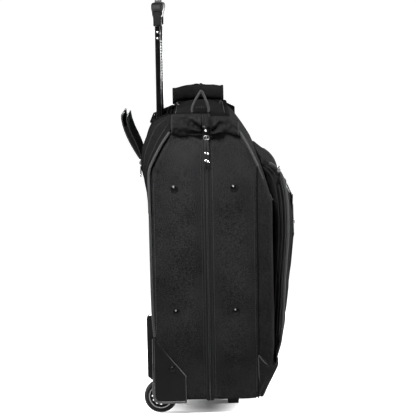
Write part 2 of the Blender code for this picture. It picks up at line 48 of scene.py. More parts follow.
# The zip-side datum of the case: Y 0 lies 5 mm behind the plane where the halves meet.
DATUM_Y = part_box("back_shell")[0].y + 4.7 * MM
HALF_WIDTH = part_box("back_shell")[1].x / MM
SHELL_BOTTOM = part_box("back_shell")[0].z / MM
SHELL_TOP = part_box("back_shell")[1].z / MM
SPINE_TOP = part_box("fold_spine")[1].z / MM
ZIP_Y = -5.0
GAP = 0.3
SIDES = (("left", -1.0), ("right", 1.0))
ACROSS = (1.0, 0.0, 0.0)
DEEP = (0.0, 1.0, 0.0)
UP = (0.0, 0.0, 1.0)
BACK_SHOULDER = [(100.0, 440.0), (98.0, 457.0), (90.0, 474.0), (76.0, 500.0), (60.0, 523.0)]
FRONT_SHOULDER = [(-125.0, 394.0), (-104.0, 465.0), (-95.0, 486.0), (-79.0, 511.0), (-61.0, 536.0)]
TUBE_Y = 83.0
RIVETS = [(y, z) for y in (55.0, -55.0) for z in (190.0, 419.0)]
# The body and the material slot that most pieces share.
BACK_TRIM = ("back_half", "trim_fabric")
BACK_WEBBING = ("back_half", "webbing")
BACK_PLASTIC = ("back_half", "plastic")
FRONT_TRIM = ("front_half", "trim_fabric")
FRONT_POCKET = ("front_half", "pocket_fabric")


def at(x, y, z):
    """A point given in millimetres from the datum, in the frame's metres."""
    return Vector((x * MM, y * MM + DATUM_Y, z * MM))


def clamp(value):
    return min(max(value, 0.0), 1.0)


def side_run(x, points):
    """A line in a plane across x, from (y, z) pairs."""
    return [at(x, y, z) for y, z in points]


def across_run(y, z, xs):
    """A level line across the case."""
    return [at(x, y, z) for x in xs]


def side_curve(points, per_span):
    """A smooth side profile through (y, z) pairs, in millimetres."""
    return smooth_line([Vector((0.0, y, z)) for y, z in points], per_span)


# ---- camera, light and floor ----

def make_camera():
    pitch = math.radians(5.28)
    yaw = math.radians(-0.093)
    roll = math.radians(-0.986)
    forward = Vector((math.cos(pitch) * math.cos(yaw), math.cos(pitch) * math.sin(yaw), -math.sin(pitch)))
    right = forward.cross(Vector(UP)).normalized()
    up = right.cross(forward)
    tilted_right = right * math.cos(roll) + up * math.sin(roll)
    tilted_up = up * math.cos(roll) - right * math.sin(roll)
    turn = Matrix((tilted_right, tilted_up, -forward)).transposed()
    data = bpy.data.cameras.new("camera")
    data.lens = 201.3
    data.sensor_width = 36.0
    data.clip_end = 50.0
    camera = bpy.data.objects.new("camera", data)
    camera.matrix_world = Matrix.Translation(at(-4539.9, 0.4, 777.0)) @ turn.to_4x4()
    bpy.context.scene.collection.objects.link(camera)
    bpy.context.scene.camera = camera


def add_light(name, place, target, size, power, spread):
    data = bpy.data.lights.new(name, "AREA")
    data.spread = math.radians(spread)
    data.shape = "RECTANGLE"
    data.size, data.size_y = size
    data.energy = power
    light = bpy.data.objects.new(name, data)
    light.location = place
    light.rotation_euler = (Vector(target) - Vector(place)).to_track_quat("-Z", "Y").to_euler()
    bpy.context.scene.collection.objects.link(light)


def make_stage():
    """White floor and horizon, a dimmer sky above, soft lights round the case, and a painted shadow on the
    floor under it.
    """
    world = bpy.data.worlds.new("studio")
    world.use_nodes = True
    nodes, links = world.node_tree.nodes, world.node_tree.links
    direction = nodes.new("ShaderNodeTexCoord")
    split = nodes.new("ShaderNodeSeparateXYZ")
    fade = nodes.new("ShaderNodeMapRange")
    for name, value in (("From Min", 0.12), ("From Max", 0.5), ("To Min", 1.05), ("To Max", 0.12)):
        fade.inputs[name].default_value = value
    links.new(direction.outputs["Generated"], split.inputs[0])
    links.new(split.outputs["Z"], fade.inputs["Value"])
    links.new(fade.outputs[0], nodes["Background"].inputs["Strength"])
    nodes["Background"].inputs["Color"].default_value = (1.0, 1.0, 1.0, 1.0)
    bpy.context.scene.world = world
    bpy.context.scene.view_settings.view_transform = "Standard"
    mesh = bpy.data.meshes.new("floor")
    far = 60.0
    mesh.from_pydata([(-far, -far, 0.0), (far, -far, 0.0), (far, far, 0.0), (-far, far, 0.0)], [],
                     [(0, 1, 2, 3)])
    floor = bpy.data.objects.new("floor", mesh)
    floor.location.z = -0.0004
    bpy.context.scene.collection.objects.link(floor)
    mat = bpy.data.materials.new("floor_white")
    mat.use_nodes = True
    shader = mat.node_tree.nodes["Principled BSDF"]
    shader.inputs["Base Color"].default_value = (0.4, 0.4, 0.4, 1.0)
    shader.inputs["Roughness"].default_value = 0.95
    shader.inputs["Emission Color"].default_value = (1.0, 1.0, 1.0, 1.0)
    # Painted shadow: the floor's glow drops in an oval round the case's footprint, standing in for its
    # contact shadow.
    where = mat.node_tree.nodes.new("ShaderNodeNewGeometry")
    scaled = mat.node_tree.nodes.new("ShaderNodeMapping")
    scaled.inputs["Location"].default_value = (0.0, -0.12, 0.0)
    scaled.inputs["Scale"].default_value = (3.0, 7.6, 0.0)
    reach = mat.node_tree.nodes.new("ShaderNodeVectorMath")
    reach.operation = "LENGTH"
    glow_with_painted_shadow = mat.node_tree.nodes.new("ShaderNodeMapRange")
    glow_with_painted_shadow.interpolation_type = "SMOOTHSTEP"
    for name, value in (("From Min", 0.6), ("From Max", 1.12), ("To Min", 0.1), ("To Max", 0.92)):
        glow_with_painted_shadow.inputs[name].default_value = value
    mat.node_tree.links.new(where.outputs["Position"], scaled.inputs[0])
    mat.node_tree.links.new(scaled.outputs[0], reach.inputs[0])
    mat.node_tree.links.new(reach.outputs["Value"], glow_with_painted_shadow.inputs["Value"])
    mat.node_tree.links.new(glow_with_painted_shadow.outputs[0], shader.inputs["Emission Strength"])
    mesh.materials.append(mat)
    add_light("key", (-1.0, 0.42, 1.4), (-0.25, 0.1, 0.66), (0.5, 0.5), 15.0, 55.0)
    add_light("far_key", (1.5, 0.0, 0.42), (0.28, 0.0, 0.4), (0.5, 0.5), 4.0, 50.0)
    add_light("front_fill", (-0.1, -2.2, 1.1), (0.0, 0.0, 0.35), (0.9, 0.9), 34.0, 50.0)
    add_light("rear", (0.1, 2.2, 1.1), (0.0, 0.0, 0.35), (0.9, 0.9), 18.0, 50.0)


# ---- materials ----

class Graph:
    """A material's node tree with short calls to fill it."""

    def __init__(self, name, colour, roughness, metallic=0.0, shine=0.5):
        self.mat = bpy.data.materials.new(name)
        self.mat.use_nodes = True
        self.tree = self.mat.node_tree
        self.shader = self.tree.nodes["Principled BSDF"]
        for socket, value in (("Base Color", (*colour, 1.0)), ("Roughness", roughness),
                              ("Metallic", metallic), ("Specular IOR Level", shine)):
            self.shader.inputs[socket].default_value = value
        self.place = self.add("ShaderNodeTexCoord").outputs["Object"]

    def add(self, kind, links=None, values=None, **settings):
        node = self.tree.nodes.new(kind)
        for key, value in settings.items():
            setattr(node, key, value)
        for key, value in (values or {}).items():
            node.inputs[key].default_value = value
        for key, output in (links or {}).items():
            self.tree.links.new(output, node.inputs[key])
        return node

    def noise(self, scale, detail=2.0, distortion=0.0):
        return self.add("ShaderNodeTexNoise", {"Vector": self.place},
                        {"Scale": scale, "Detail": detail, "Distortion": distortion}).outputs["Fac"]

    def wave(self, period, direction):
        """Ribs that repeat every period metres."""
        scale = 2.0 * math.pi / (20.0 * period)
        return self.add("ShaderNodeTexWave", {"Vector": self.place}, {"Scale": scale},
                        bands_direction=direction).outputs["Fac"]

    def math(self, operation, a, b):
        node = self.add("ShaderNodeMath", operation=operation)
        for socket, value in zip(node.inputs, (a, b)):
            if isinstance(value, (int, float)):
                socket.default_value = value
            else:
                self.tree.links.new(value, socket)
        return node.outputs[0]

    def blend(self, a, weight_a, b, weight_b):
        """A weighted sum of two outputs."""
        return self.math("ADD", self.math("MULTIPLY", a, weight_a), self.math("MULTIPLY", b, weight_b))

    def mix(self, factor, dark, light):
        node = self.add("ShaderNodeMix", {"Factor": factor}, data_type="RGBA")
        node.inputs[6].default_value = (*dark, 1.0)
        node.inputs[7].default_value = (*light, 1.0)
        return node.outputs[2]

    def spread(self, value, low, high):
        """Map a 0 to 1 value to a range."""
        return self.add("ShaderNodeMapRange", {"Value": value},
                        {"From Min": 0.3, "From Max": 0.7, "To Min": low, "To Max": high}).outputs[0]

    def colour_from(self, factor, colour, low, high):
        dark = tuple(c * low for c in colour)
        light = tuple(min(c * high, 1.0) for c in colour)
        self.tree.links.new(self.mix(self.spread(factor, 0.0, 1.0), dark, light),
                            self.shader.inputs["Base Color"])

    def roughness_from(self, factor, low, high):
        self.tree.links.new(self.spread(factor, low, high), self.shader.inputs["Roughness"])

    def bump(self, height, distance, strength=1.0, under=None):
        links = {"Height": height}
        if under is not None:
            links["Normal"] = under
        node = self.add("ShaderNodeBump", links, {"Distance": distance, "Strength": strength})
        self.tree.links.new(node.outputs["Normal"], self.shader.inputs["Normal"])
        return node.outputs["Normal"]


def woven(name, colour, roughness, thread, shine=0.2, grain=0.18, crease=0.0006):
    """Plain-weave cloth: threads along all three axes, speckle between yarns, soft creases."""
    g = Graph(name, colour, roughness, shine=shine)
    weave = g.math("ADD", g.math("ADD", g.wave(thread, "X"), g.wave(thread, "Y")), g.wave(thread, "Z"))
    speckle = g.noise(520.0, 3.0)
    cloudy = g.noise(14.0, 2.0)
    g.colour_from(g.blend(speckle, 0.75, cloudy, 0.25), colour, 1.0 - grain * 1.4, 1.0 + grain * 1.6)
    g.roughness_from(speckle, roughness - 0.08, roughness + 0.08)
    creased = g.bump(g.noise(45.0, 3.0, 0.6), crease)
    g.bump(g.blend(weave, 0.5, speckle, 1.4), 0.00025, 0.7, creased)
    return g.mat


def webbing(name, colour, direction):
    """Ribbed strap: ribs across the strap's run, with a dull shine on each rib."""
    g = Graph(name, colour, 0.65, shine=0.12)
    rib = g.wave(0.0016, direction)
    fuzz = g.noise(700.0, 2.0)
    g.colour_from(g.blend(rib, 0.6, fuzz, 0.4), colour, 0.7, 1.35)
    g.bump(g.math("ADD", rib, g.math("MULTIPLY", fuzz, 0.5)), 0.0003, 0.9)
    return g.mat


def moulded(name, colour, roughness, shine=0.35, grain=0.00012):
    """Injection-moulded plastic: fine spark-eroded grain and faint handling marks."""
    g = Graph(name, colour, roughness, shine=shine)
    g.colour_from(g.noise(30.0, 4.0), colour, 0.85, 1.2)
    g.roughness_from(g.noise(60.0, 5.0), roughness - 0.08, roughness + 0.12)
    g.bump(g.noise(1100.0, 2.0), grain, 0.8)
    return g.mat


def metal(name, colour, roughness, direction="Z"):
    """Plated or anodised metal with fine drawn lines and a few smudges."""
    g = Graph(name, colour, roughness, metallic=1.0)
    g.roughness_from(g.noise(50.0, 4.0), max(roughness - 0.08, 0.05), roughness + 0.12)
    g.bump(g.math("ADD", g.wave(0.0006, direction), g.noise(300.0, 3.0)), 0.00002, 0.5)
    return g.mat


def rubbery(name, colour):
    g = Graph(name, colour, 0.72, shine=0.12)
    g.colour_from(g.noise(90.0, 4.0), colour, 0.75, 1.5)
    g.bump(g.noise(800.0, 3.0), 0.0002, 0.8)
    return g.mat


def zip_coil(name, colour):
    """Nylon coil: one tooth every 1.6 mm along the run of the zip."""
    g = Graph(name, colour, 0.5, shine=0.08)
    teeth = g.math("MULTIPLY", g.wave(0.0016, "X"), g.wave(0.0016, "Z"))
    g.colour_from(teeth, colour, 0.6, 1.5)
    g.bump(teeth, 0.0005)
    return g.mat


def make_materials():
    return {
        "shell": woven("shell_nylon", (0.0058, 0.0058, 0.006), 0.78, 0.0011, 0.0, 0.7),
        "pocket": woven("pocket_nylon", (0.0048, 0.0048, 0.0049), 0.75, 0.0011, 0.0, 0.55),
        "trim": woven("trim_nylon", (0.0026, 0.0026, 0.0027), 0.8, 0.0006, 0.0, 0.4, 0.0012),
        "gusset": woven("gusset_nylon", (0.0014, 0.0014, 0.0015), 0.5, 0.0005, 0.04, 0.25, 0.003),
        "lining": woven("lining_satin", (0.008, 0.008, 0.0082), 0.6, 0.0004, 0.0, 0.1, 0.0015),
        "piping": woven("piping_satin", (0.007, 0.007, 0.0072), 0.6, 0.0005, 0.02, 0.1, 0.0003),
        # Painted highlight: the edging cloth is lighter than the shell, standing in for the highlight along
        # the round piping.
        "edging": woven("edging_satin", (0.015, 0.015, 0.0153), 0.6, 0.0005, 0.04, 0.1, 0.0003),
        "welt": woven("zip_welt", (0.0045, 0.0045, 0.0046), 0.65, 0.0007, 0.03, 0.15, 0.0002),
        "binding": woven("binding_tape", (0.0024, 0.0024, 0.0025), 0.6, 0.0006, 0.0, 0.15, 0.0003),
        "thread": woven("thread", (0.014, 0.014, 0.0143), 0.5, 0.0003, 0.1, 0.1, 0.0001),
        "strap": webbing("strap_webbing", (0.004, 0.004, 0.0041), "Y"),
        "loop": webbing("loop_webbing", (0.0045, 0.0045, 0.0046), "Z"),
        "coil": zip_coil("zip_coil", (0.0035, 0.0035, 0.0036)),
        "tape": woven("zip_tape", (0.0035, 0.0035, 0.0036), 0.7, 0.0007, 0.08, 0.15, 0.0002),
        "plastic": moulded("moulded_plastic", (0.0022, 0.0022, 0.0023), 0.42, 0.06),
        # Painted highlight: the bead plastic is lighter than the guard's plastic, standing in for the
        # highlights along the guard's edges; its gloss is real.
        "bead": moulded("polished_bead_painted_highlight", (0.008, 0.008, 0.0082), 0.3, 0.35),
        "grip": moulded("soft_touch_grip", (0.002, 0.002, 0.0021), 0.5, 0.05, 0.0002),
        "button": moulded("button_plastic", (0.01, 0.01, 0.0102), 0.3, 0.3),
        "pull": moulded("pull_rubber", (0.0022, 0.0022, 0.0023), 0.4, 0.1),
        "tube": metal("anodised_tube", (0.0025, 0.0025, 0.0026), 0.4, "X"),
        "nickel": metal("bright_nickel", (0.62, 0.62, 0.63), 0.2),
        "gunmetal": metal("dark_nickel", (0.008, 0.008, 0.0082), 0.2),
        "pewter": metal("pewter", (0.17, 0.17, 0.173), 0.25),
        "steel": metal("frame_steel", (0.22, 0.22, 0.225), 0.4),
        "rubber": rubbery("tyre_rubber", (0.002, 0.002, 0.0021)),
        "foot": rubbery("foot_rubber", (0.004, 0.004, 0.0041)),
    }


# ---- making pieces ----

MATS = make_materials()


def add_piece(name, mesh, mat, body, slot, replaced=(), smooth=True):
    """Give a mesh or bmesh in metres its material and its body in the frame."""
    if isinstance(mesh, bmesh.types.BMesh):
        mesh = mesh_from(mesh, name)
    mesh.materials.clear()
    for each in (mat if isinstance(mat, tuple) else (mat,)):
        mesh.materials.append(MATS[each])
    if smooth:
        mesh.shade_smooth()
        mesh.set_sharp_from_angle(angle=math.radians(50.0))
    obj = bpy.data.objects.new(name, mesh)
    bpy.context.scene.collection.objects.link(obj)
    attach(obj, body)
    if replaced:
        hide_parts(*replaced)
    return obj


def mesh_from(bm, name):
    bmesh.ops.recalc_face_normals(bm, faces=bm.faces)
    mesh = bpy.data.meshes.new(name)
    bm.to_mesh(mesh)
    bm.free()
    return mesh


def evaluated(obj):
    """The mesh of an object with its modifiers applied."""
    graph = bpy.context.evaluated_depsgraph_get()
    graph.update()
    return bpy.data.meshes.new_from_object(obj.evaluated_get(graph))


def with_modifiers(mesh, *modifiers):
    """Apply modifiers, each (type, settings), to a mesh and return the result."""
    obj = bpy.data.objects.new("work", mesh)
    bpy.context.scene.collection.objects.link(obj)
    for kind, settings in modifiers:
        modifier = obj.modifiers.new(kind.lower(), kind)
        for key, value in settings.items():
            setattr(modifier, key, value)
    result = evaluated(obj)
    bpy.data.objects.remove(obj)
    return result


def cad_mesh(node):
    """A welded copy of a CAD node's mesh."""
    bm = bmesh.new()
    bm.from_mesh(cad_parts[node].data)
    bmesh.ops.remove_doubles(bm, verts=bm.verts, dist=0.00001)
    return mesh_from(bm, node + "_copy")


def softened(mesh, voxel, rounds):
    """Remesh evenly and relax, which rounds every edge as stuffed cloth or moulding does."""
    return with_modifiers(mesh, ("REMESH", {"mode": "VOXEL", "voxel_size": voxel * MM}),
                          ("SMOOTH", {"factor": 0.6, "iterations": rounds}))


def cloth_puff(mesh, pressure, cap, pinned):
    """Inflate a closed cloth body by simulation; no point moves further than cap millimetres."""
    scene = bpy.context.scene
    obj = bpy.data.objects.new("puffed", mesh)
    scene.collection.objects.link(obj)
    cloth = obj.modifiers.new("cloth", "CLOTH")
    cloth.settings.quality = 5
    cloth.settings.mass = 0.3
    cloth.settings.tension_stiffness = 15.0
    cloth.settings.compression_stiffness = 15.0
    cloth.settings.bending_stiffness = 0.8
    cloth.settings.use_pressure = True
    cloth.settings.uniform_pressure_force = pressure
    cloth.settings.effector_weights.gravity = 0.0
    group = obj.vertex_groups.new(name="pin")
    group.add([vert.index for vert in mesh.vertices if pinned(vert.co)], 1.0, "REPLACE")
    cloth.settings.vertex_group_mass = "pin"
    for step in range(1, 19):
        scene.frame_set(step)
    result = evaluated(obj)
    for vert, start in zip(result.vertices, mesh.vertices):
        move = vert.co - start.co
        if move.length > cap * MM:
            vert.co = start.co + move * (cap * MM / move.length)
    bpy.data.objects.remove(obj)
    scene.frame_set(1)
    return result


def displaced(mesh, offset):
    """Move each vertex along its normal by offset(place in mm from the datum, normal) mm."""
    normals = [vert.normal.copy() for vert in mesh.vertices]
    for vert, normal in zip(mesh.vertices, normals):
        here = Vector((vert.co.x / MM, (vert.co.y - DATUM_Y) / MM, vert.co.z / MM))
        vert.co += normal * (offset(here, normal) * MM)
    mesh.update()
    return mesh


def ripple(point, size, seed=0.0):
    """Smooth noise from -1 to 1 with features about size millimetres across."""
    return noise.noise(Vector((point.x / size + seed, point.y / size, point.z / size)))


def loft(sections, closed_ends=True):
    """A body through outlines of equal length, given in metres."""
    bm = bmesh.new()
    rings = [[bm.verts.new(point) for point in section] for section in sections]
    count = len(rings[0])
    for ring, following in zip(rings, rings[1:]):
        for i in range(count):
            j = (i + 1) % count
            bm.faces.new((ring[i], ring[j], following[j], following[i]))
    if closed_ends:
        bm.faces.new(rings[0])
        bm.faces.new(list(reversed(rings[-1])))
    return bm


def smooth_line(points, per_span=6, closed=False):
    """Catmull-Rom curve through points."""
    points = [Vector(p) for p in points]
    count = len(points)
    spans = count if closed else count - 1
    line = []
    for i in range(spans):
        if closed:
            a, b, c, d = (points[(i + k) % count] for k in (-1, 0, 1, 2))
        else:
            a, b, c, d = (points[min(max(i + k, 0), count - 1)] for k in (-1, 0, 1, 2))
        for step in range(per_span):
            t = step / per_span
            line.append(0.5 * ((2 * b) + (c - a) * t + (2 * a - 5 * b + 4 * c - d) * t * t
                               + (3 * b - a - 3 * c + d) * t ** 3))
    if not closed:
        line.append(points[-1])
    return line


def path_frames(line, closed, side):
    """Across and outward directions at every point; side fixes which way is across."""
    frames = []
    count = len(line)
    for i, here in enumerate(line):
        before = line[i - 1] if (i or closed) else here
        after = line[(i + 1) % count] if (i < count - 1 or closed) else here
        along = (after - before).normalized()
        across = Vector(side)
        across = (across - along * across.dot(along)).normalized()
        frames.append((across, along.cross(across)))
    return frames


def swept(line, section, side, closed=False):
    """Sweep a (across, outward) section, in mm, along a line in metres."""
    rings = [[here + (across * a + outward * b) * MM for a, b in section]
             for here, (across, outward) in zip(line, path_frames(line, closed, side))]
    if closed:
        rings.append(rings[0])
        bm = loft(rings, False)
        bmesh.ops.remove_doubles(bm, verts=bm.verts, dist=0.000001)
        return bm
    return loft(rings)


def rounded_section(half_across, half_outward, radius, steps=3):
    """The outline of a rectangle with round corners, about its middle."""
    points = []
    for quarter in range(4):
        sign_a = 1.0 if quarter in (0, 3) else -1.0
        sign_b = 1.0 if quarter in (0, 1) else -1.0
        for step in range(steps + 1):
            turn = math.pi / 2.0 * (quarter + step / steps)
            points.append((sign_a * (half_across - radius) + radius * math.cos(turn),
                           sign_b * (half_outward - radius) + radius * math.sin(turn)))
    return points


def circle(radius, steps=10):
    return [(radius * math.cos(2 * math.pi * i / steps), radius * math.sin(2 * math.pi * i / steps))
            for i in range(steps)]


def cord_piece(name, points, radius, mat, body, slot, closed=False, per_span=6, side=ACROSS):
    """Piping or a moulded bead: a round rope of cloth along a smooth line."""
    line = smooth_line(points, per_span, closed)
    bm = swept(line, circle(radius), side, closed)
    return add_piece(name, bm, mat, body, slot)


def stitch_row(name, lines, outward, body, pitch=4.2, length=2.7):
    """Lock stitches along lines: one small rounded bar a stitch, standing on the cloth."""
    thickness = 0.42
    up = Vector(outward)
    bm = bmesh.new()
    for line in lines:
        travelled = 0.0
        next_at = pitch * 0.5
        for a, b in zip(line, line[1:]):
            span = (b - a).length / MM
            along = (b - a).normalized()
            across = along.cross(up).normalized()
            while next_at <= travelled + span:
                middle = a + along * ((next_at - travelled) * MM)
                ring = []
                for end, thick in ((-0.5, 0.4), (-0.3, 1.0), (0.3, 1.0), (0.5, 0.4)):
                    centre = middle + along * (end * length * MM)
                    reach = thickness * thick * MM
                    ring.append([bm.verts.new(centre + (across * sideways + up * high) * reach)
                                 for sideways, high in ((-1, 0), (0, 0.9), (1, 0), (0, -0.6))])
                for here, following in zip(ring, ring[1:]):
                    for i in range(4):
                        j = (i + 1) % 4
                        bm.faces.new((here[i], here[j], following[j], following[i]))
                bm.faces.new(ring[0])
                bm.faces.new(list(reversed(ring[-1])))
                next_at += pitch
            travelled += span
    return add_piece(name, bm, "thread", body, "trim_fabric", smooth=False)


def turned(profile, centre, axis, segments=32):
    """A solid turned about an axis through centre; the profile is (radius, along) in mm."""
    axis = Vector(axis).normalized()
    first = axis.orthogonal().normalized()
    second = axis.cross(first)
    bm = bmesh.new()
    rings = []
    for radius, along in profile:
        middle = centre + axis * (along * MM)
        if radius < 0.001:
            rings.append([bm.verts.new(middle)] * segments)
            continue
        rings.append([bm.verts.new(middle + (first * math.cos(2 * math.pi * i / segments)
                                             + second * math.sin(2 * math.pi * i / segments))
                                   * (radius * MM)) for i in range(segments)])
    for ring, following in zip(rings, rings[1:] + rings[:1]):
        for i in range(segments):
            j = (i + 1) % segments
            corners = list(dict.fromkeys((ring[i], ring[j], following[j], following[i])))
            if len(corners) > 2:
                bm.faces.new(corners)
    return bm


def joined(parts):
    """Several bmeshes as one."""
    whole = bmesh.new()
    for part in parts:
        mesh = mesh_from(part, "part")
        whole.from_mesh(mesh)
        bpy.data.meshes.remove(mesh)
    return whole


# ---- the two half shells ----

def back_outline(zip_y):
    return ([(zip_y, SHELL_BOTTOM), (90.0, SHELL_BOTTOM), (98.0, 34.0), (98.5, 200.0)]
            + BACK_SHOULDER + [(52.0, SHELL_TOP), (zip_y, SHELL_TOP)])


def front_outline(zip_y):
    return ([(zip_y, SHELL_BOTTOM), (-90.0, SHELL_BOTTOM), (-97.0, 32.0), (-110.0, 60.0),
             (-121.0, 90.0), (-125.0, 120.0)]
            + FRONT_SHOULDER + [(-44.0, SHELL_TOP), (zip_y, SHELL_TOP)])


def shell_relief(point, normal):
    """How the padded walls swell between their seams and sink round the rivets."""
    away = abs(point.y - ZIP_Y)
    if abs(normal.x) > 0.8:
        span = clamp(away / 92.0)
        height = clamp((point.z - 30.0) / 480.0)
        swell = 1.9 * math.sin(math.pi * span) * math.sin(math.pi * height) ** 0.5
        for y, z in RIVETS:
            apart = ((point.y - y) ** 2 + (point.z - z) ** 2) / 14.0 ** 2
            swell *= 1.0 - 0.85 * math.exp(-apart)
        return swell + 0.35 * ripple(point, 55.0) * math.sin(math.pi * span)
    if abs(normal.y) > 0.8 and away > 60.0:
        across = max(0.0, 1.0 - (point.x / 280.0) ** 4)
        height = math.sin(math.pi * clamp((point.z - 30.0) / 420.0))
        return 2.2 * across * height + 0.5 * ripple(point, 70.0, 3.0)
    return 0.5 * ripple(point, 60.0, 7.0)


def slice_and_remove(bm, low, high):
    """Cut a box-shaped hole in a skin, with clean edges."""
    for axis in range(3):
        normal = Vector([1.0 if k == axis else 0.0 for k in range(3)])
        for bound in (low[axis], high[axis]):
            near = [face for face in bm.faces
                    if all(low[k] - 0.02 < face.calc_center_median()[k] < high[k] + 0.02 for k in range(3))]
            parts = near + list({edge for face in near for edge in face.edges})
            parts += list({vert for face in near for vert in face.verts})
            bmesh.ops.bisect_plane(bm, geom=parts, plane_co=normal * bound, plane_no=normal)
    doomed = [face for face in bm.faces
              if all(low[k] < face.calc_center_median()[k] < high[k] for k in range(3))]
    bmesh.ops.delete(bm, geom=doomed, context="FACES")


def shell_skin(name, outline, zip_y, away, corner, steps, holes, body, replaced):
    """One half shell as a padded skin: swollen walls, soft corners, lining inside, and painted shade on the
    front corner.
    """
    bm = loft([[at(x, y, z) for y, z in outline] for x in (-HALF_WIDTH, HALF_WIDTH)])
    bmesh.ops.recalc_face_normals(bm, faces=bm.faces)
    limit = at(0.0, zip_y + away * 60.0, 0.0).y
    edges = [edge for edge in bm.edges
             if abs(edge.verts[0].co.x - edge.verts[1].co.x) < 0.0001
             and all(away * (vert.co.y - limit) > 0.0 for vert in edge.verts)]
    bmesh.ops.bevel(bm, geom=edges, offset=corner * MM, segments=steps, profile=0.5,
                    affect="EDGES", clamp_overlap=True)
    mesh = softened(mesh_from(bm, name), 5.0, 2)
    mesh = displaced(mesh, shell_relief)
    bm = bmesh.new()
    bm.from_mesh(mesh)
    rim = at(0.0, zip_y, 0.0).y
    parts = list(bm.verts) + list(bm.edges) + list(bm.faces)
    bmesh.ops.bisect_plane(bm, geom=parts, plane_co=(0.0, rim + away * 2.6 * MM, 0.0),
                           plane_no=DEEP, clear_inner=away > 0.0, clear_outer=away < 0.0)
    for vert in bm.verts:
        if vert.is_boundary:
            vert.co.y = rim
    for low, high in holes:
        slice_and_remove(bm, at(*low), at(*high))
    mesh = with_modifiers(mesh_from(bm, name),
                          ("SOLIDIFY", {"thickness": 3.4 * MM, "offset": -1.0, "material_offset": 1,
                                        "material_offset_rim": 1}))
    obj = add_piece(name, mesh, ("shell", "lining", "pocket"), body, "shell_fabric", replaced)
    # Painted shade: past the front seam the shell's corner takes the darker pocket cloth, standing in for the
    # shade that falls towards the pocket.
    edge = at(0.0, -97.5, 0.0).y
    for face in obj.data.polygons:
        if face.material_index == 0 and face.center.y < edge:
            face.material_index = 2
    return obj


def make_shell_skins():
    wells = []
    for _, side in SIDES:
        xs = sorted((side * 224.5, side * 290.0))
        wells.append(((xs[0], 50.0, 15.0), (xs[1], 115.0, 67.0)))
    slot_hole = ((-151.0, 67.0, 438.0), (151.0, 93.0, 535.0))
    shell_skin("back_shell_skin", back_outline(ZIP_Y + GAP), ZIP_Y + GAP, 1.0, 8.0, 2,
               wells + [slot_hole], "back_half", ("back_shell",))
    shell_skin("front_shell_skin", front_outline(ZIP_Y - GAP), ZIP_Y - GAP, -1.0, 28.0, 4, [],
               "front_half", ("front_shell",))


def make_body_seams():
    """Piping along the corners of both halves, and rows of stitches beside it."""
    back_run = [(96.0, 146.0), (99.3, 200.0), (100.8, 380.0), (101.2, 440.0), (99.2, 457.8),
                (91.4, 474.8), (77.2, 501.0), (61.2, 524.0)]
    front_seam = [(-94.0, 28.0), (-95.5, 60.0), (-96.3, 200.0), (-96.6, 420.0), (-99.0, 459.0)]
    front_shoulder = [(-66.0, 524.0), (-78.0, 503.0), (-90.0, 480.0), (-99.5, 459.0)]
    front_thin = [(-99.5, 459.0), (-108.0, 437.0), (-118.0, 412.0), (-126.5, 394.0)]
    whole = range(32, 508, 20)
    for hand, side in SIDES:
        for name, points, out, radius, mat, place in (
                ("back_piping", back_run, 0.6, 2.6, "edging", BACK_TRIM),
                ("front_seam", front_seam, 0.9, 1.2, "binding", FRONT_TRIM),
                ("front_shoulder_piping", front_shoulder, 0.2, 2.5, "edging", FRONT_TRIM)):
            cord_piece(f"{name}_{hand}", side_run(side * (HALF_WIDTH + out), points), radius, mat, *place)
        inner = [at(side * (HALF_WIDTH + 0.4 - 24.0 * (i / 3.0) ** 2.2), y, z)
                 for i, (y, z) in enumerate(front_thin)]
        cord_piece(f"front_thin_piping_{hand}", inner, 1.2, "edging", *FRONT_TRIM)
        for half, spots in (("back", ((1.5, 92.5, range(150, 440, 20)), (1.6, 5.5, whole))),
                            ("front", ((1.1, -91.0, range(40, 440, 20)), (1.6, -15.5, whole)))):
            rows = [[at(side * (HALF_WIDTH + out), y, z) for z in levels] for out, y, levels in spots]
            stitch_row(f"{half}_side_stitches_{hand}", rows, (side, 0.0, 0.0), f"{half}_half")


# ---- top of the case ----

def make_spine():
    """The padded top panel, bound along both long edges, that the halves fold about."""
    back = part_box("fold_spine")[1].y
    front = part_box("fold_spine")[0].y
    centre_y = (back + front) / 2.0
    half_depth = (back - front) / 2.0
    sections = []
    steps = 68
    for i in range(steps + 1):
        x = -272.0 + 544.0 * i / steps
        ring = []
        for k in range(15):
            t = -1.0 + 2.0 * k / 14.0
            here = Vector((x, t * 47.0, SPINE_TOP))
            middle = max(0.0, 1.0 - (x / 215.0) ** 2)
            dimple = 1.0 - 0.42 * math.exp(-(x / 30.0) ** 4)
            crown = (1.4 + 15.5 * dimple * middle ** 0.7) * (1.0 - abs(t) ** 3)
            crown += 0.7 * ripple(here, 34.0) * (1.0 - t * t)
            drop = 1.6 * max(0.0, abs(t) - 0.9) / 0.1
            height = SPINE_TOP - 0.4 + crown - drop
            ring.append(Vector((x * MM, centre_y + t * half_depth, height * MM)))
        for t in (1.0, -1.0):
            ring.append(Vector((x * MM, centre_y + t * half_depth, (SHELL_TOP + GAP) * MM)))
        sections.append(ring)
    add_piece("spine_panel", loft(sections), "trim", *BACK_TRIM, ("fold_spine",))
    for name, y, z, radius, place in (("spine_back_piping", 53.4, SPINE_TOP - 1.4, 1.5, BACK_TRIM),
                                      ("spine_front_piping", -42.6, SPINE_TOP - 1.4, 1.5, BACK_TRIM),
                                      ("hinge_roll", -45.5, 552.4, 4.3, FRONT_TRIM)):
        cord_piece(name, across_run(y, z, range(-276, 277, 46)), radius, "trim", *place, side=DEEP)
    rows = [across_run(y, SPINE_TOP + 1.0, range(-268, 269, 8)) for y in (50.4, -39.8)]
    stitch_row("spine_stitches", rows, UP, "back_half")


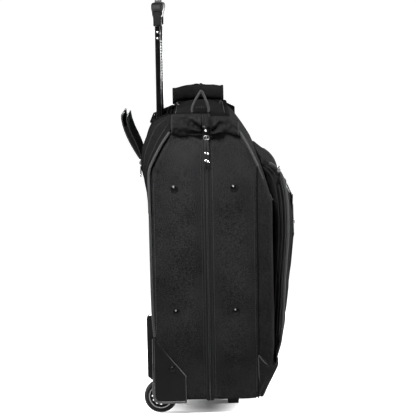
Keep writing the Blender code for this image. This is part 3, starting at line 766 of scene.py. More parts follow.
def gusset_surface(side, y_low, y_high, top, gather_y, bottom_at):
    """A gathered flap of thin cloth: folds fan out from where the zip pulls it together."""
    columns, rows = 54, 34
    grid = []
    for i in range(columns + 1):
        u = i / columns
        y = y_low + (y_high - y_low) * u
        low = bottom_at(y)
        column = []
        for k in range(rows + 1):
            v = k / rows
            z = top + (low - top) * v
            pull = abs(y - gather_y)
            fan = math.atan2(z - (top - 34.0), pull)
            near = math.exp(-((pull - 14.0) / 24.0) ** 2)
            folds = math.sin(fan * 9.0 + 0.8 * side) * 4.2 * near * min(1.0, v * 3.0)
            here = Vector((side * 280.0, y, z))
            wrinkle = 2.6 * ripple(here, 15.0, 5.0 * side) + 1.5 * ripple(here, 7.0, 9.0)
            belly = 7.0 * math.sin(math.pi * min(v * 0.86 + 0.04, 1.0)) ** 0.6
            edge = min(1.0, (1.0 - v) * 9.0, v * 8.0 + 0.15, min(u, 1.0 - u) * 16.0 + 0.3)
            out = 1.0 + (belly + folds + wrinkle) * edge
            under = max(0.0, v - 0.9) * 36.0
            column.append(at(side * (HALF_WIDTH + max(out - under * 0.6, 0.9)), y, z + under * 0.4))
        grid.append(column)
    return grid


def sheet_from_grid(name, grid, thickness, mat, body, slot, replaced=()):
    bm = bmesh.new()
    rows = [[bm.verts.new(point) for point in line] for line in grid]
    for line, following in zip(rows, rows[1:]):
        for a, b, c, d in zip(line, line[1:], following[1:], following):
            bm.faces.new((a, b, c, d))
    mesh = with_modifiers(mesh_from(bm, name),
                          ("SUBSURF", {"levels": 1, "render_levels": 1}),
                          ("SOLIDIFY", {"thickness": thickness * MM, "offset": 0.0}))
    return add_piece(name, mesh, mat, body, slot, replaced)


def make_gussets():
    """Thin crumpled nylon over the top of each side wall, split where the zip runs."""
    for hand, side in SIDES:
        def back_bottom(y):
            return 517.0 - 3.5 * math.sin((y - 2.0) / 56.0 * math.pi) - 1.2 * math.sin(y / 5.5)

        def front_bottom(y):
            return 511.5 + 0.22 * abs(y + 13.0) + 2.0 * math.sin(y / 7.0)

        grid = gusset_surface(side, 3.0, 58.5, 557.0, -5.0, back_bottom)
        sheet_from_grid(f"crumpled_gusset_back_{hand}", grid, 0.9, "gusset", *BACK_TRIM,
                        (f"fold_gusset_back_{hand}",))
        grid = gusset_surface(side, -66.0, -13.0, 551.5, -5.0, front_bottom)
        for line in grid:
            for point in line:
                slope = at(0.0, -47.0, 0.0).y - point.y
                point.z -= max(0.0, slope) * 0.5
        sheet_from_grid(f"crumpled_gusset_front_{hand}", grid, 0.9, "gusset", *FRONT_TRIM,
                        (f"fold_gusset_front_{hand}",))


def make_carry_handle():
    """A webbing strap over the spine and the soft wrap that closes round it."""
    path = [(28.0, 558.6), (44.0, 559.2), (52.0, 564.0), (54.3, 575.0), (48.0, 583.5), (30.0, 586.0),
            (9.0, 586.6), (-12.0, 586.0), (-30.0, 583.5), (-36.0, 575.0), (-34.0, 564.0), (-27.0, 559.2),
            (-12.0, 558.6)]
    line = smooth_line(side_run(0.0, path), 8)
    strap = swept(line, rounded_section(19.0, 1.2, 1.0), ACROSS)
    add_piece("carry_webbing", strap, "strap", *BACK_WEBBING,
              ("carry_strap",))
    foot = 560.2
    stitches = [across_run(y, foot, range(-17, 18, 2)) for y in (33.0, 42.0, -16.0, -25.0)]
    for x in (-17.0, 17.0):
        stitches += [side_run(x, [(33.0, foot), (42.0, foot)]), side_run(x, [(-16.0, foot), (-25.0, foot)])]
    stitch_row("carry_box_stitches", stitches, UP, "back_half", pitch=3.2, length=2.2)
    make_handle_wrap()


def wrap_ring(t, y, grow=0.0, slack=0.0):
    """One ring of the sleeve: a flattened tube whose two ends droop over the strap."""
    rise = 588.0 - (8.0 if t < 0.5 else 3.5) * abs(2.0 * t - 1.0) ** 2.2
    steps = 28
    ring = []
    for k in range(steps):
        turn = 2.0 * math.pi * k / steps
        c, s = math.cos(turn), math.sin(turn)
        x = math.copysign(abs(c) ** 0.55, c) * (27.0 + grow)
        z = rise + math.copysign(abs(s) ** 0.7, s) * (12.0 + grow + 4.5 * (s < 0.0))
        here = Vector((x, y, z))
        sag = slack * (1.1 * ripple(here, 16.0, 2.0) + 0.6 * ripple(here, 7.0, 4.0))
        ring.append(at(x + sag * c, y, z + sag * s))
    return ring


def make_handle_wrap():
    """A padded sleeve round the strap, with open ends and a bound middle."""
    back, length, steps = 57.0, 96.5, 40
    sections = [wrap_ring(i / steps, back - length * i / steps, slack=1.0) for i in range(steps + 1)]
    mesh = with_modifiers(mesh_from(loft(sections, False), "wrap"),
                          ("SOLIDIFY", {"thickness": 3.4 * MM, "offset": -1.0}))
    add_piece("padded_wrap", mesh, "trim", "back_half", "pocket_fabric", ("handle_wrap",))
    for name, t, half in (("wrap_end_binding_back", 0.012, 2.4), ("wrap_end_binding_front", 0.988, 2.4),
                          ("wrap_middle_band", 0.47, 5.0)):
        rings = [wrap_ring(t, back - length * t + half * (step / 2.0 - 1.0),
                           1.0 + 0.6 * math.sin(math.pi * step / 4.0)) for step in range(5)]
        mesh = with_modifiers(mesh_from(loft(rings, False), name),
                              ("SOLIDIFY", {"thickness": 1.2 * MM, "offset": -1.0}))
        add_piece(name, mesh, "trim", "back_half", "pocket_fabric")


def make_side_loops():
    """A teardrop of doubled webbing above each end of the zip, its foot sewn to the spine."""
    outline = [(19.0, 559.5), (19.5, 566.0), (15.5, 577.0), (9.0, 588.0), (5.0, 594.5), (3.5, 597.0),
               (1.0, 596.0), (-1.5, 591.0), (-7.0, 578.0), (-10.5, 566.0), (-10.0, 559.5)]
    for hand, side in SIDES:
        x = side * 262.5
        lie = 0.82 if side > 0.0 else 1.0
        line = smooth_line(side_run(x, [(y, 558.0 + (z - 558.0) * lie) for y, z in outline]), 6)
        bm = swept(line, rounded_section(7.6, 2.3, 1.6), ACROSS)
        add_piece(f"webbing_loop_{hand}", bm, "loop", *BACK_WEBBING,
                  (f"side_loop_{hand}",))
        low, high = sorted((side * 254.5, side * 270.5))
        tab = box_mesh((low, -7.6, 558.0), (high, 15.5, 566.5), 1.6, 3)
        add_piece(f"webbing_loop_foot_{hand}", tab, "binding", *BACK_WEBBING)
        rows = [side_run(x + side * shift, [(13.0, 567.5), (4.0, 568.6), (-5.0, 567.5)])
                for shift in (4.0, -4.0)]
        stitch_row(f"webbing_loop_stitches_{hand}", rows, UP, "back_half")


# ---- zips ----

def u_path(out):
    """The run of the zip round the case: down one side, under the bottom and up the other."""
    corner = 9.0
    x = HALF_WIDTH + out
    low = SHELL_BOTTOM - out
    points = [at(-x, ZIP_Y, z) for z in range(556, 40, -12)]
    for middle, start, following in ((corner - x, 1.0, across_run(ZIP_Y, low, range(-260, 261, 20))),
                                     (x - corner, 1.5, [at(x, ZIP_Y, z) for z in range(44, 557, 12)])):
        for step in range(7):
            turn = start * math.pi + math.pi / 2.0 * step / 6.0
            points.append(at(middle + corner * math.cos(turn), ZIP_Y, low + corner + corner * math.sin(turn)))
        points += following
    return points


def make_zips():
    """Tape, raised welt and coil of each half's zip, following the case's edge."""
    for half, away, body in (("back", 1.0, "back_half"), ("front", -1.0, "front_half")):
        pieces = (
            ("tape", 0.7, [(0.4, -0.4), (7.0, -0.4), (7.2, 0.2), (6.6, 0.55), (0.4, 0.55)]),
            ("welt", 1.0, [(2.9, -0.2), (5.0, -0.2), (5.5, 0.5), (5.0, 1.4), (3.9, 1.8), (3.0, 1.2)]),
            ("coil", 1.2, [(0.15, -0.6), (2.1, -0.6), (2.5, 0.2), (2.0, 1.1), (1.0, 1.4), (0.15, 1.1)]),
        )
        for part, out, section in pieces:
            bm = swept(u_path(out), [(a, -away * b) for a, b in section], (0.0, away, 0.0))
            replaced = (f"zip_tape_{half}",) if part == "tape" else ()
            add_piece(f"zip_{part}_{half}", bm, part, body, "zip_black", replaced)


def round_edges(bm, offset, steps):
    """Bevel every edge of a closed block."""
    bmesh.ops.recalc_face_normals(bm, faces=bm.faces)
    bmesh.ops.bevel(bm, geom=list(bm.edges), offset=offset * MM, segments=steps, profile=0.5,
                    affect="EDGES", clamp_overlap=True)
    return bm


def box_mesh(low, high, round_by=0.6, steps=2):
    """A block with every edge rounded, as a bmesh, from two corners in mm."""
    corners = ((low[1], low[2]), (high[1], low[2]), (high[1], high[2]), (low[1], high[2]))
    return round_edges(loft([side_run(x, corners) for x in (low[0], high[0])]), round_by, steps)


def side_block(side, low_out, high_out, y0, y1, z0, z1, round_by=0.6):
    xs = sorted((side * (HALF_WIDTH + low_out), side * (HALF_WIDTH + high_out)))
    return box_mesh((xs[0], y0, z0), (xs[1], y1, z1), round_by)


def make_side_pulls():
    """The main zip's slider, its ring, and the two tabs with press studs that hang from it."""
    for hand, side in SIDES:
        x = side * (HALF_WIDTH + 4.2)
        body = [side_block(side, 2.5, 5.4, -12.0, 2.0, 523.0, 534.0, 1.2),
                side_block(side, 2.5, 5.2, -10.5, 0.5, 518.6, 524.5, 1.0),
                side_block(side, 5.0, 7.8, -7.4, -2.6, 530.0, 533.0, 0.9),
                side_block(side, 5.6, 7.8, -7.0, -3.0, 521.5, 532.0, 0.8)]
        slider = joined(body)
        add_piece(f"zip_slider_{hand}", slider, "gunmetal",
                  f"side_slider_{hand}", "steel", (f"side_slider_{hand}",))
        stud = turned([(0.0, 0.0), (1.9, 0.0), (1.9, 0.5), (1.2, 1.0), (0.0, 1.1)],
                      at(x + side * 3.7, -5.0, 526.0), (side, 0.0, 0.0), 16)
        add_piece(f"slider_stud_{hand}", stud, "nickel",
                  f"side_slider_{hand}", "steel")
        top = 516.5
        for which, y, length in (("front", -7.9, 62.0), ("back", -3.5, 59.5)):
            rider = f"side_pull_{which}_{hand}"
            ring = smooth_line([at(x, y + 2.7 * math.cos(t), top - 3.6 + 3.6 * math.sin(t))
                                for t in (2 * math.pi * k / 10 for k in range(10))], 3, True)
            add_piece(f"pull_ring_{which}_{hand}", swept(ring, circle(0.8, 8), ACROSS, True), "pewter", rider,
                      "steel")
            tab = [(y - 2.0, top - 7.0), (y + 2.0, top - 7.0), (y + 2.1, top - length + 4.0),
                   (y + 1.4, top - length), (y - 1.4, top - length), (y - 2.1, top - length + 4.0)]
            bm = round_edges(loft([side_run(x + side * shift, tab) for shift in (-1.0, 1.0)]), 0.5, 2)
            add_piece(f"pull_tab_{which}_{hand}", bm, "pull", rider, "steel", (rider,))
            for n, z in enumerate((top - length * 0.53, top - length * 0.76)):
                dome = turned([(0.0, -1.2), (2.1, -1.2), (2.1, 0.4), (1.8, 1.1), (0.9, 1.5), (0.0, 1.6)],
                              at(x + side * 0.6, y, z), (side, 0.0, 0.0), 20)
                add_piece(f"pull_stud_{which}_{n}_{hand}", dome, "nickel", rider,
                          "steel")


def make_small_pulls():
    """Sliders and pulls of the handle cover and of the two front pockets."""
    spots = (
        ("cover", DEEP, (-134.5, 119.5, 460.0), "back_half", ("cover_slider",)),
        ("pocket", (-1.0, 0.0, 0.0), (-252.6, -138.5, 450.5), "front_half", ("pocket_slider",)),
        ("small_pocket", (0.0, -1.0, 0.0), (-146.0, -168.0, 343.0), "front_half", ()),
    )
    for name, out, (x, y, z), body, replaced in spots:
        wide, deep = (3.3 if abs(part) < 0.5 else 1.5 for part in out[:2])

        def plate(half_x, half_y, low, high, round_by, lift=0.0):
            middle_x, middle_y = x + out[0] * lift, y + out[1] * lift
            return box_mesh((middle_x - half_x, middle_y - half_y, low),
                            (middle_x + half_x, middle_y + half_y, high), round_by)

        slider = [plate(wide, deep, z - 5.5, z + 6.0, 0.9),
                  plate(wide * 0.5, deep * 0.5, z - 4.0, z + 3.0, 0.5, 2.0)]
        add_piece(f"{name}_zip_slider", joined(slider), "pewter", body, "steel", replaced)
        top = z - 8.2
        rider = f"{name}_pull"
        tab = [plate(wide * 0.7, deep * 0.7, top - 5.0, top, 0.7),
               plate(wide * 0.85, deep * 0.8, top - 20.0, top - 4.6, 0.7)]
        add_piece(f"{name}_pull_tab", joined(tab), "gunmetal", rider, "steel", (rider,))
        if name == "pocket":
            continue  # this pull has no stud
        stud = turned([(0.0, 0.0), (1.6, 0.0), (1.6, 0.5), (0.8, 0.9), (0.0, 1.0)],
                      at(x + out[0] * wide * 0.8, y + out[1] * deep * 0.8, top - 16.0), out, 14)
        add_piece(f"{name}_pull_stud", stud, "nickel", rider, "steel")


# ---- trolley ----

def paint_cad(mat, *nodes):
    """Give CAD nodes whose shape is right a detailed material."""
    for node in nodes:
        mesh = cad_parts[node].data
        mesh.materials.clear()
        mesh.materials.append(MATS[mat])


def make_trolley():
    """Tubes, grip and button, with the tubes' rivets, lock dimples and collars."""
    tubes = [f"{kind}_tube_{hand}" for kind in ("outer", "mid", "inner") for hand, _ in SIDES]
    paint_cad("tube", *tubes)
    paint_cad("plastic", "tube_bottom_bracket", "hanger_clamp", "hanger_clamp_lever")
    paint_cad("steel", "frame_hoop_back", "frame_hoop_front", "wheel_axle_left", "wheel_axle_right",
              *[f"frame_stay_{half}_{hand}" for half in ("back", "front") for hand, _ in SIDES])
    mesh = softened(cad_mesh("handle_grip"), 1.6, 4)
    middle = at(0.0, TUBE_Y, 0.0).y
    for vert in mesh.vertices:
        height = vert.co.z / MM
        slim = 0.66 + 0.34 * clamp((height - 729.0) / 21.0) ** 1.3
        vert.co.y = middle + (vert.co.y - middle) * slim
    add_piece("soft_grip", mesh, "grip", "handle", "plastic", ("handle_grip",))
    mesh = softened(cad_mesh("release_button"), 0.7, 2)
    add_piece("push_button", mesh, "button", "release_button", "plastic", ("release_button",))
    seam = [(-6.4, 717.5), (-6.6, 730.0), (-8.6, 741.0), (0.0, 744.5), (8.6, 741.0), (6.6, 730.0),
            (6.4, 717.5)]
    for hand, side in SIDES:
        line = side_run(side * 140.2, [(TUBE_Y + y, z) for y, z in seam])
        cord_piece(f"grip_end_seam_{hand}", line, 0.6, "binding", "handle", "plastic")
    for hand, side in SIDES:
        x = side * 125.0
        studs = [turned([(0.0, -0.4), (2.2, -0.4), (2.2, 0.3), (1.2, 0.9), (0.0, 1.0)],
                        at(x + out * 9.0, TUBE_Y, z), (out, 0.0, 0.0), 14)
                 for z in (704.5, 693.0) for out in (-1.0, 1.0)]
        add_piece(f"tube_rivets_{hand}", joined(studs), "pewter", "handle", "tube")
        dimples = [turned([(0.0, 0.03), (1.0, 0.05), (1.5, 0.09), (1.9, 0.05), (1.9, -0.3), (0.0, -0.3)],
                          at(x - side * 9.0, 79.4, 683.0 - 5.6 * n), (-side, 0.0, 0.0), 12)
                   for n in range(15)]
        add_piece(f"lock_dimples_{hand}", joined(dimples), "steel", "handle", "tube")
        rings = [[at(x + a, TUBE_Y + b, z) for a, b in rounded_section(*size)]
                 for size, z in (((13.8, 9.6, 4.0), 495.2), ((13.8, 9.6, 4.0), 499.0),
                                 ((11.9, 7.9, 2.4), 500.4), ((11.9, 7.9, 2.4), 495.2))]
        bm = loft(rings + rings[:1], False)
        bmesh.ops.remove_doubles(bm, verts=bm.verts, dist=0.000001)
        add_piece(f"tube_collar_{hand}", bm, "plastic", *BACK_PLASTIC)


def make_recess():
    """The padded surround the grip drops into, with the bound edge of its mouth."""
    mesh = softened(cad_mesh("handle_recess"), 2.6, 5)

    def relief(point, normal):
        inside = abs(point.x) < 149.0 and 66.0 < point.y < 99.0 and point.z > 480.0
        if inside or point.z < 382.0:
            return 0.0
        folds = math.sin((point.z * 0.8 + point.y) / 9.0) * 0.5 if point.z > 470.0 else 0.0
        return 0.7 * ripple(point, 24.0, 3.0) + folds - 1.0

    mesh = displaced(mesh, relief)
    add_piece("padded_recess", mesh, "trim", *BACK_TRIM, ("handle_recess",))
    edge = [(101.5, 382.0), (108.5, 419.0), (113.5, 440.0), (116.3, 455.0), (113.5, 488.0), (107.5, 501.0),
            (104.3, 513.5), (98.3, 529.5), (90.0, 538.5), (76.0, 541.8), (61.0, 549.5)]
    for hand, side in SIDES:
        cord_piece(f"recess_piping_{hand}", side_run(side * 168.0, edge), 1.9, "trim", *BACK_TRIM)
    mouth = [at(a, TUBE_Y + b, 0.0) for a, b in rounded_section(147.0, 15.6, 7.0, 5)]
    for point in mouth:
        depth = (point.y - DATUM_Y) / MM
        point.z = (549.0 - max(0.0, depth - 70.0) * 0.42) * MM
    cord_piece("recess_mouth_binding", mouth, 1.6, "trim", *BACK_TRIM, True, 3,
               UP)


def make_yoke():
    """Padded cloth on the back shoulder, rising from the side seam to the edge of the recess."""
    near = side_curve([(101.2, 372.0), (101.8, 402.0), (102.0, 440.0), (99.9, 458.5), (92.0, 475.8),
                       (78.2, 502.0), (63.0, 525.0), (56.0, 546.0)], 6)
    far = side_curve([(101.6, 381.0), (105.5, 404.0), (110.5, 430.0), (115.0, 455.0), (112.0, 487.0),
                      (104.0, 512.0), (89.0, 537.0), (60.0, 550.0)], 6)
    for hand, side in SIDES:
        def surface(u, a, b, lift=0.0, side=side):
            ease = u * u * (3.0 - 2.0 * u)
            here = a.lerp(b, ease)
            here.x = side * (278.6 - 111.0 * u)
            pad = 4.5 * abs(math.sin(math.pi * u * 3.0)) ** 0.7 - 1.6
            pad += 0.8 * ripple(here, 22.0, 5.0) + lift
            return at(*(here + Vector((0.0, 0.75, 0.66)) * pad))

        grid = [[surface(k / 30.0, a, b) for k in range(31)] for a, b in zip(near, far)]
        sheet_from_grid(f"shoulder_yoke_{hand}", grid, 1.6, "trim", *BACK_TRIM)
        for n, u in enumerate((1.0 / 3.0, 2.0 / 3.0)):
            line = [surface(u, a, b, 1.6) for a, b in zip(near[::4], far[::4])]
            cord_piece(f"yoke_piping_{n}_{hand}", line, 1.3, "welt", *BACK_TRIM,
                       per_span=4)


FLAP_HALF_WIDTH = 129.0


def flap_corner(x):
    """From 0 to 1 over the last 12 mm before each end of the flap, where its tip rounds off."""
    return max(0.0, (abs(x) - FLAP_HALF_WIDTH) / 12.0 + 1.0)


def make_flap():
    """The curved cover of the handle recess: cloth outside, satin inside, open at the tip."""
    outer = side_curve([(118.6, 463.0), (123.0, 469.0), (134.2, 488.0), (144.4, 509.0), (151.2, 530.0),
                        (154.0, 548.5)], 5)
    inner = side_curve([(119.4, 468.0), (120.6, 475.0), (127.0, 493.0), (135.6, 512.0), (142.2, 531.0),
                        (144.6, 546.0)], 5)
    layers = (("flap_outer_cloth", outer, 2.4, "pocket", "shell_fabric", 2.0, ("handle_cover_flap",)),
              ("flap_lining", inner, 1.6, "lining", "shell_fabric", 9.0, ()))
    drop = 7.0
    for name, line, thick, mat, slot, seed, replaced in layers:
        grid = []
        for i in range(53):
            x = FLAP_HALF_WIDTH * (i / 26.0 - 1.0)
            column = []
            for k, point in enumerate(line):
                t = k / (len(line) - 1)
                here = Vector((x, point.y, point.z))
                swell = ripple(here, 30.0, seed) * t + 0.5 * ripple(here, 11.0, seed)
                column.append(at(x, point.y + swell, point.z - drop * flap_corner(x) ** 3 * t ** 6))
            grid.append(column)
        sheet_from_grid(name, grid, thick, mat, "cover_flap", slot, replaced)
        for hand, side in SIDES:
            rim = [at(side * (FLAP_HALF_WIDTH + 0.2), point.y, point.z - drop * (k / (len(line) - 1)) ** 6)
                   for k, point in enumerate(line)]
            cord_piece(f"{name}_rim_{hand}", rim[::3] + [rim[-1]], thick * 0.62, "piping", "cover_flap",
                       slot)
        tip = [at(x, line[-1].y, line[-1].z + 0.2 - drop * flap_corner(x) ** 3)
               for x in (-129, -126, -122, -116, -90, -45, 0, 45, 90, 116, 122, 126, 129)]
        cord_piece(f"{name}_tip", tip, thick * 0.62, "piping", "cover_flap", slot, side=DEEP)
    core = [(a.y - 0.8, a.z) for a in outer[1:-6]] + [(b.y + 0.6, b.z) for b in inner[1:-6]][::-1]
    sections = [side_run(x, core) for x in (-124.0, -60.0, 0.0, 60.0, 124.0)]
    add_piece("flap_padding", loft(sections), "binding", "cover_flap", "shell_fabric")
    cord_piece("flap_base_zip", across_run(117.2, 460.5, range(-130, 131, 20)), 1.6, "coil", "back_half",
               "zip_black", side=DEEP)


# ---- wheels, guards, feet ----

def make_wheels():
    """Tyre, rim rings, pierced hub and bearing of both wheels."""
    for hand, side in SIDES:
        centre = at(side * 252.0, 87.0, 31.0)
        body = f"wheel_{hand}"
        tread = [(21.6, -7.2), (22.6, -8.8), (25.5, -9.6), (28.0, -8.6), (29.9, -6.2), (30.8, -3.2)]
        tread += [(31.0, 0.0)] + [(radius, -along) for radius, along in tread[::-1]]
        tyre = turned(tread, centre, ACROSS, 72)
        add_piece(f"tyre_{hand}", tyre, "rubber", body, "rubber",
                  (f"wheel_tyre_{hand}",))
        rim = [turned([(20.8, z - 0.6), (22.4, z - 0.7), (22.9, z), (22.4, z + 0.7), (20.8, z + 0.6)], centre,
                      ACROSS, 72) for z in (-7.6, 7.6)]
        add_piece(f"rim_rings_{hand}", joined(rim), "pewter", body, "plastic")
        add_piece(f"hub_{hand}", hub_mesh(centre), "plastic", body, "plastic",
                  (f"wheel_hub_{hand}",))
        bearing = turned([(4.3, -6.2), (8.6, -6.2), (9.0, -5.4), (9.0, 5.4), (8.6, 6.2), (4.3, 6.2)], centre,
                         ACROSS, 40)
        add_piece(f"bearing_{hand}", bearing, "gunmetal", body, "steel")


def hub_mesh(centre):
    """A disc between boss and rim, pierced by a ring of round windows."""
    curve = bpy.data.curves.new("hub", "CURVE")
    curve.dimensions = "2D"
    curve.fill_mode = "BOTH"
    curve.extrude = 2.6 * MM
    curve.bevel_depth = 0.5 * MM
    curve.bevel_resolution = 1
    curve.resolution_u = 8

    def ring(radius, x, y, points):
        spline = curve.splines.new("POLY")
        spline.points.add(points - 1)
        for i, point in enumerate(spline.points):
            turn = 2.0 * math.pi * i / points
            point.co = ((x + radius * math.cos(turn)) * MM, (y + radius * math.sin(turn)) * MM, 0.0, 1.0)
        spline.use_cyclic_u = True

    ring(21.2, 0.0, 0.0, 64)
    ring(8.0, 0.0, 0.0, 32)
    windows = 12
    for i in range(windows):
        turn = 2.0 * math.pi * i / windows
        ring(2.4, 15.6 * math.cos(turn), 15.6 * math.sin(turn), 14)
    obj = bpy.data.objects.new("hub", curve)
    obj.rotation_euler = (0.0, math.pi / 2.0, 0.0)
    bpy.context.scene.collection.objects.link(obj)
    bpy.context.view_layer.update()
    mesh = evaluated(obj)
    mesh.transform(Matrix.Translation(centre) @ obj.matrix_world)
    bpy.data.objects.remove(obj)
    bands = [turned([(20.6, -6.9), (22.0, -7.2), (22.0, 7.2), (20.6, 6.9), (20.2, 3.0), (20.2, -3.0)], centre,
                    ACROSS, 64),
             turned([(9.1, -5.0), (10.8, -5.0), (11.4, -3.0), (11.4, 3.0), (10.8, 5.0), (9.1, 5.0)], centre,
                    ACROSS, 48)]
    whole = joined(bands)
    whole.from_mesh(mesh)
    return mesh_from(whole, "hub")


def make_guards():
    """Corner guards moulded in one with the wheel boxes, their screws, rails and edge beads."""
    for hand, side in SIDES:
        mesh = softened(cad_mesh(f"wheel_housing_{hand}"), 1.1, 4)
        add_piece(f"corner_guard_{hand}", mesh, "plastic", *BACK_PLASTIC,
                  (f"wheel_housing_{hand}",))
        x = side * (HALF_WIDTH + 2.4)
        bead = side_run(x, [(99.6, 141.5), (69.0, 106.0), (41.0, 73.5), (40.2, 68.0), (40.0, 46.0),
                            (40.0, 23.6)])
        # The beads and the back roll take the lighter bead plastic, a painted highlight along the guard's
        # edges.
        cord_piece(f"guard_bead_{hand}", bead, 0.9, "bead", *BACK_PLASTIC, per_span=4)
        roll = [at(side * (HALF_WIDTH - 0.4), 97.4, z) for z in (29.0, 60.0, 90.0, 120.0, 141.5)]
        cord_piece(f"guard_back_roll_{hand}", roll, 3.9, "bead", *BACK_PLASTIC, per_span=4)
        low = side_run(x, [(41.0, 23.4), (60.0, 23.2), (80.0, 23.2), (92.0, 24.2), (98.0, 30.0), (99.8, 45.0),
                           (99.8, 60.0)])
        cord_piece(f"guard_low_bead_{hand}", low, 2.4, "bead", *BACK_PLASTIC, per_span=4)
        screw = turned([(0.0, -1.0), (6.3, -1.0), (6.3, 0.7), (5.2, 1.9), (3.0, 2.8), (1.2, 3.1), (0.0, 3.1)],
                       at(side * (HALF_WIDTH + 3.4), 64.0, 85.0), (side, 0.0, 0.0), 28)
        add_piece(f"guard_rivet_{hand}", screw, "gunmetal", "back_half", "steel",
                  (f"guard_screw_{hand}",))
        mesh = softened(cad_mesh(f"skid_rail_{hand}"), 1.2, 4)
        face = at(0.0, 103.0, 0.0).y
        for vert in mesh.vertices:
            if vert.co.y < face:
                vert.co.y -= 5.0 * MM
        add_piece(f"back_rail_{hand}", mesh, "plastic", *BACK_PLASTIC,
                  (f"skid_rail_{hand}",))
        mesh = softened(cad_mesh(f"foot_{hand}"), 1.0, 3)
        add_piece(f"rubber_foot_{hand}", mesh, "foot", "front_half", "rubber", (f"foot_{hand}",))
        for y, z in RIVETS:
            half = "back" if y > 0.0 else "front"
            dome = turned([(0.0, -0.6), (6.0, -0.6), (6.9, 0.2), (6.9, 0.8), (6.2, 1.0), (5.4, 1.5),
                           (3.9, 2.9), (2.0, 3.6), (0.0, 3.8)],
                          at(side * (HALF_WIDTH + 0.3), y, z), (side, 0.0, 0.0), 28)
            add_piece(f"rivet_{half}_{int(z)}_{hand}", dome, "gunmetal",
                      f"{half}_half", "steel")


# ---- front pockets ----

POCKET_EDGE = [(-139.0, 450.0), (-149.0, 428.0), (-155.0, 385.0), (-155.0, 315.0), (-152.0, 230.0),
               (-145.5, 160.0), (-130.5, 101.5)]
POCKET_BULGE = [5.0, 7.0, 9.5, 10.5, 10.0, 7.0, 1.0]


def pocket_face(x, z):
    """Where the front of the big pocket stands at one place across and up the case."""
    swell = math.sqrt(max(0.0, 1.0 - (x / 250.0) ** 2))
    rows = list(zip(POCKET_EDGE, POCKET_BULGE))
    for ((y_high, z_high), bulge_high), ((y_low, z_low), bulge_low) in zip(rows, rows[1:]):
        if z >= z_low:
            t = clamp((z_high - z) / (z_high - z_low))
            return y_high + (y_low - y_high) * t - (bulge_high + (bulge_low - bulge_high) * t) * swell
    return POCKET_EDGE[-1][0]


def pocket_tuck(y, z):
    """How far the stuffed pocket draws back in towards the case low down."""
    low = clamp((330.0 - z) / 80.0) * clamp((z - 128.0) / 45.0)
    return 5.0 * low * clamp((-131.0 - y) / 10.0)


def outer_tuck(z):
    """The small pocket follows the big one, and lies flatter along its lower edge."""
    return pocket_tuck(-150.0, z) + 3.5 * clamp((262.0 - z) / 45.0)


def pocket_sag(x, z):
    """How far the soft top of the pocket has dropped."""
    return 7.0 * min(1.0, (x + 250.0) / 250.0) * clamp((z - 390.0) / 60.0)


def make_pockets():
    """The stuffed front pocket and the flat pocket sewn on its face."""
    mesh = softened(cad_mesh("front_pocket"), 5.0, 3)
    mesh = cloth_puff(mesh, 3.0, 3.5, lambda co: (co.y - DATUM_Y) / MM > -127.0)

    def relief(point, normal):
        folds = 0.0
        if abs(normal.x) > 0.6:
            wander = 2.5 * math.sin(point.z / 60.0) + 1.2 * math.sin(point.z / 23.0)
            folds = 1.8 * math.sin((point.y + wander) / 2.4) - 0.8
        return folds + 0.9 * ripple(point, 50.0, 4.0) + 0.5 * ripple(point, 18.0, 2.0) - 0.6

    mesh = displaced(mesh, relief)
    for vert in mesh.vertices:
        x, depth, z = vert.co.x / MM, (vert.co.y - DATUM_Y) / MM, vert.co.z / MM
        shy = clamp((depth + 131.0) / 6.0) * clamp((abs(x) - 225.0) / 20.0) * clamp((z - 130.0) / 40.0)
        vert.co.x -= math.copysign(6.0 * shy * MM, x)
        vert.co.y += pocket_tuck(depth, z) * MM
        vert.co.z -= pocket_sag(vert.co.x / MM, z) * MM
    pocket = add_piece("stuffed_pocket", mesh, "pocket", *FRONT_POCKET, ("front_pocket",))
    mesh = softened(cad_mesh("small_front_pocket"), 2.6, 4)
    for vert in mesh.vertices:
        if vert.normal.y < -0.4:
            vert.co.y += 2.8 * MM
        vert.co.y += outer_tuck(vert.co.z / MM) * MM
    mesh = displaced(mesh, lambda point, normal: 0.8 * ripple(point, 40.0, 8.0) + 0.2)
    add_piece("outer_pocket", mesh, "pocket", *FRONT_POCKET, ("small_front_pocket",))
    make_pocket_trim()
    make_pouch()


def make_pocket_trim():
    """Piping, zip and welts that follow the pockets' edges."""
    edge = [(-124.0, 464.5), (-139.5, 450.5), (-149.5, 428.5), (-155.6, 385.0), (-155.6, 315.0),
            (-152.6, 230.0), (-146.2, 160.0), (-131.0, 103.0)]
    edge = [(point.y, point.z) for point in side_curve(edge, 4)]
    for hand, side in SIDES:
        def run(inward, down, out, side=side):
            points = []
            for y, z in edge[1:]:
                depth = y + inward + pocket_tuck(y, z)
                points.append(at(side * out, depth, z - down - pocket_sag(side * 250.0, z)))
            return points

        top = at(side * 247.0, edge[0][0] + 1.5, edge[0][1] - 2.5 - pocket_sag(side * 250.0, 464.0))
        cord_piece(f"pocket_piping_{hand}", [top] + run(1.4, 1.6, 249.4), 2.5, "edging", *FRONT_POCKET,
                   per_span=2)
        cord_piece(f"pocket_zip_{hand}", run(7.0, 2.5, 251.6)[:-3], 1.5, "coil", "front_half", "zip_black",
                   per_span=2)
        cord_piece(f"pocket_zip_welt_{hand}", run(11.5, 4.5, 251.4)[:-3], 1.3, "piping", *FRONT_POCKET,
                   per_span=2)
        cord_piece(f"pocket_back_welt_{hand}", run(18.5, 7.0, 250.8)[:-4], 1.5, "piping", *FRONT_POCKET,
                   per_span=2)
    middle = 307.0

    def on_face(x, z, proud):
        return at(x, pocket_face(x, z) - proud + outer_tuck(z), z)

    ring = [on_face(a, middle + b, 3.4) for a, b in rounded_section(171.0, 92.0, 16.0, 4)]
    cord_piece("outer_pocket_piping", ring, 1.5, "piping", *FRONT_POCKET, True, 5, DEEP)
    zip_line = [on_face(-146.0, z, 4.4) for z in range(232, 381, 12)]
    cord_piece("outer_pocket_zip", zip_line, 1.5, "coil", "front_half", "zip_black")


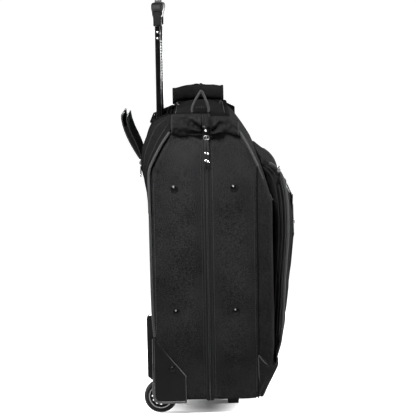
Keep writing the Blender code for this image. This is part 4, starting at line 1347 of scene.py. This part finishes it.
def pouch_ring(z, stand_off):
    """Plan of the pouch at one height: round one corner of the shell, across, round the other."""
    shell = [(26.0, -93.0), (32.0, -97.0), (60.0, -110.0), (90.0, -121.0), (120.0, -125.0)]
    face = [(26.0, -99.0), (31.0, -101.0), (42.0, -107.0), (62.0, -119.0), (86.0, -132.0), (98.5, -132.0)]

    def level(table):
        for (low, a), (high, b) in zip(table, table[1:]):
            if z <= high:
                return a + (b - a) * max(0.0, (z - low) / (high - low))
        return table[-1][1]

    wall = level(shell)
    proud = max(wall - level(face) - 3.0, 0.5) * stand_off
    start = math.asin(min(max((123.0 + wall) / 29.0, 0.05), 0.98))
    corner_x = 252.0
    corner = []
    for k in range(13):
        s = k / 12.0
        turn = start + (math.pi / 2.0 - start) * s
        radius = 28.4 + stand_off * (3.0 + 6.0 * math.sin(math.pi * s)) + proud * max(0.0, s - 0.4) / 0.6
        high = max(0.0, (z - 31.0) / 67.0) ** 3
        dip = high * (16.0 * math.sin(math.pi * min(s * 1.1, 1.0)) - 10.0 * (1.0 - s) ** 2)
        corner.append((corner_x + radius * math.cos(turn), wall + 28.0 - radius * math.sin(turn), z - dip))
    across = []
    for k in range(1, 20):
        x = corner_x * (1.0 - k / 10.0)
        across.append((x, corner[-1][1] - ripple(Vector((x, 0.0, z)), 45.0, 1.0) * stand_off, z))
    return corner + across + [(-x, y, height) for x, y, height in reversed(corner)]


def make_pouch():
    """The toe of the case: a pouch that wraps both lower corners, bound along its top."""
    levels = [28.0, 34.0, 42.0, 52.0, 62.0, 72.0, 80.0, 88.0, 94.0, 98.5]
    sections = [[at(*point) for point in pouch_ring(z, 1.0) + pouch_ring(z, 0.0)[::-1]] for z in levels]
    mesh = mesh_from(loft(sections), "pouch")
    mesh = displaced(mesh, lambda point, normal: 0.5 * ripple(point, 24.0, 1.0))
    add_piece("kick_pouch", mesh, "pocket", *FRONT_TRIM, ("lower_pouch",))
    top = [at(*point) for point in pouch_ring(98.5, 0.8)]
    cord_piece("pouch_top_piping", top, 1.3, "edging", *FRONT_TRIM, per_span=2,
               side=UP)
    for hand, side in SIDES:
        ends = [pouch_ring(z, 1.0)[0] for z in levels]
        side_line = [at(side * x, y, z) for x, y, z in ends]
        cord_piece(f"pouch_side_piping_{hand}", side_line, 1.2, "edging", *FRONT_TRIM,
                   per_span=3)
        corner = pouch_ring(28.0, 1.0)[2]
        knot = box_mesh((side * corner[0] - 3.0, corner[1] - 3.5, 27.0),
                        (side * corner[0] + 3.0, corner[1] + 2.5, 38.0), 1.5)
        add_piece(f"pouch_corner_tab_{hand}", knot, "lining", *FRONT_TRIM)


make_camera()
make_stage()
make_shell_skins()
make_body_seams()
make_spine()
make_gussets()
make_carry_handle()
make_side_loops()
make_zips()
make_side_pulls()
make_small_pulls()
make_trolley()
make_recess()
make_yoke()
make_flap()
make_wheels()
make_guards()
make_pockets()
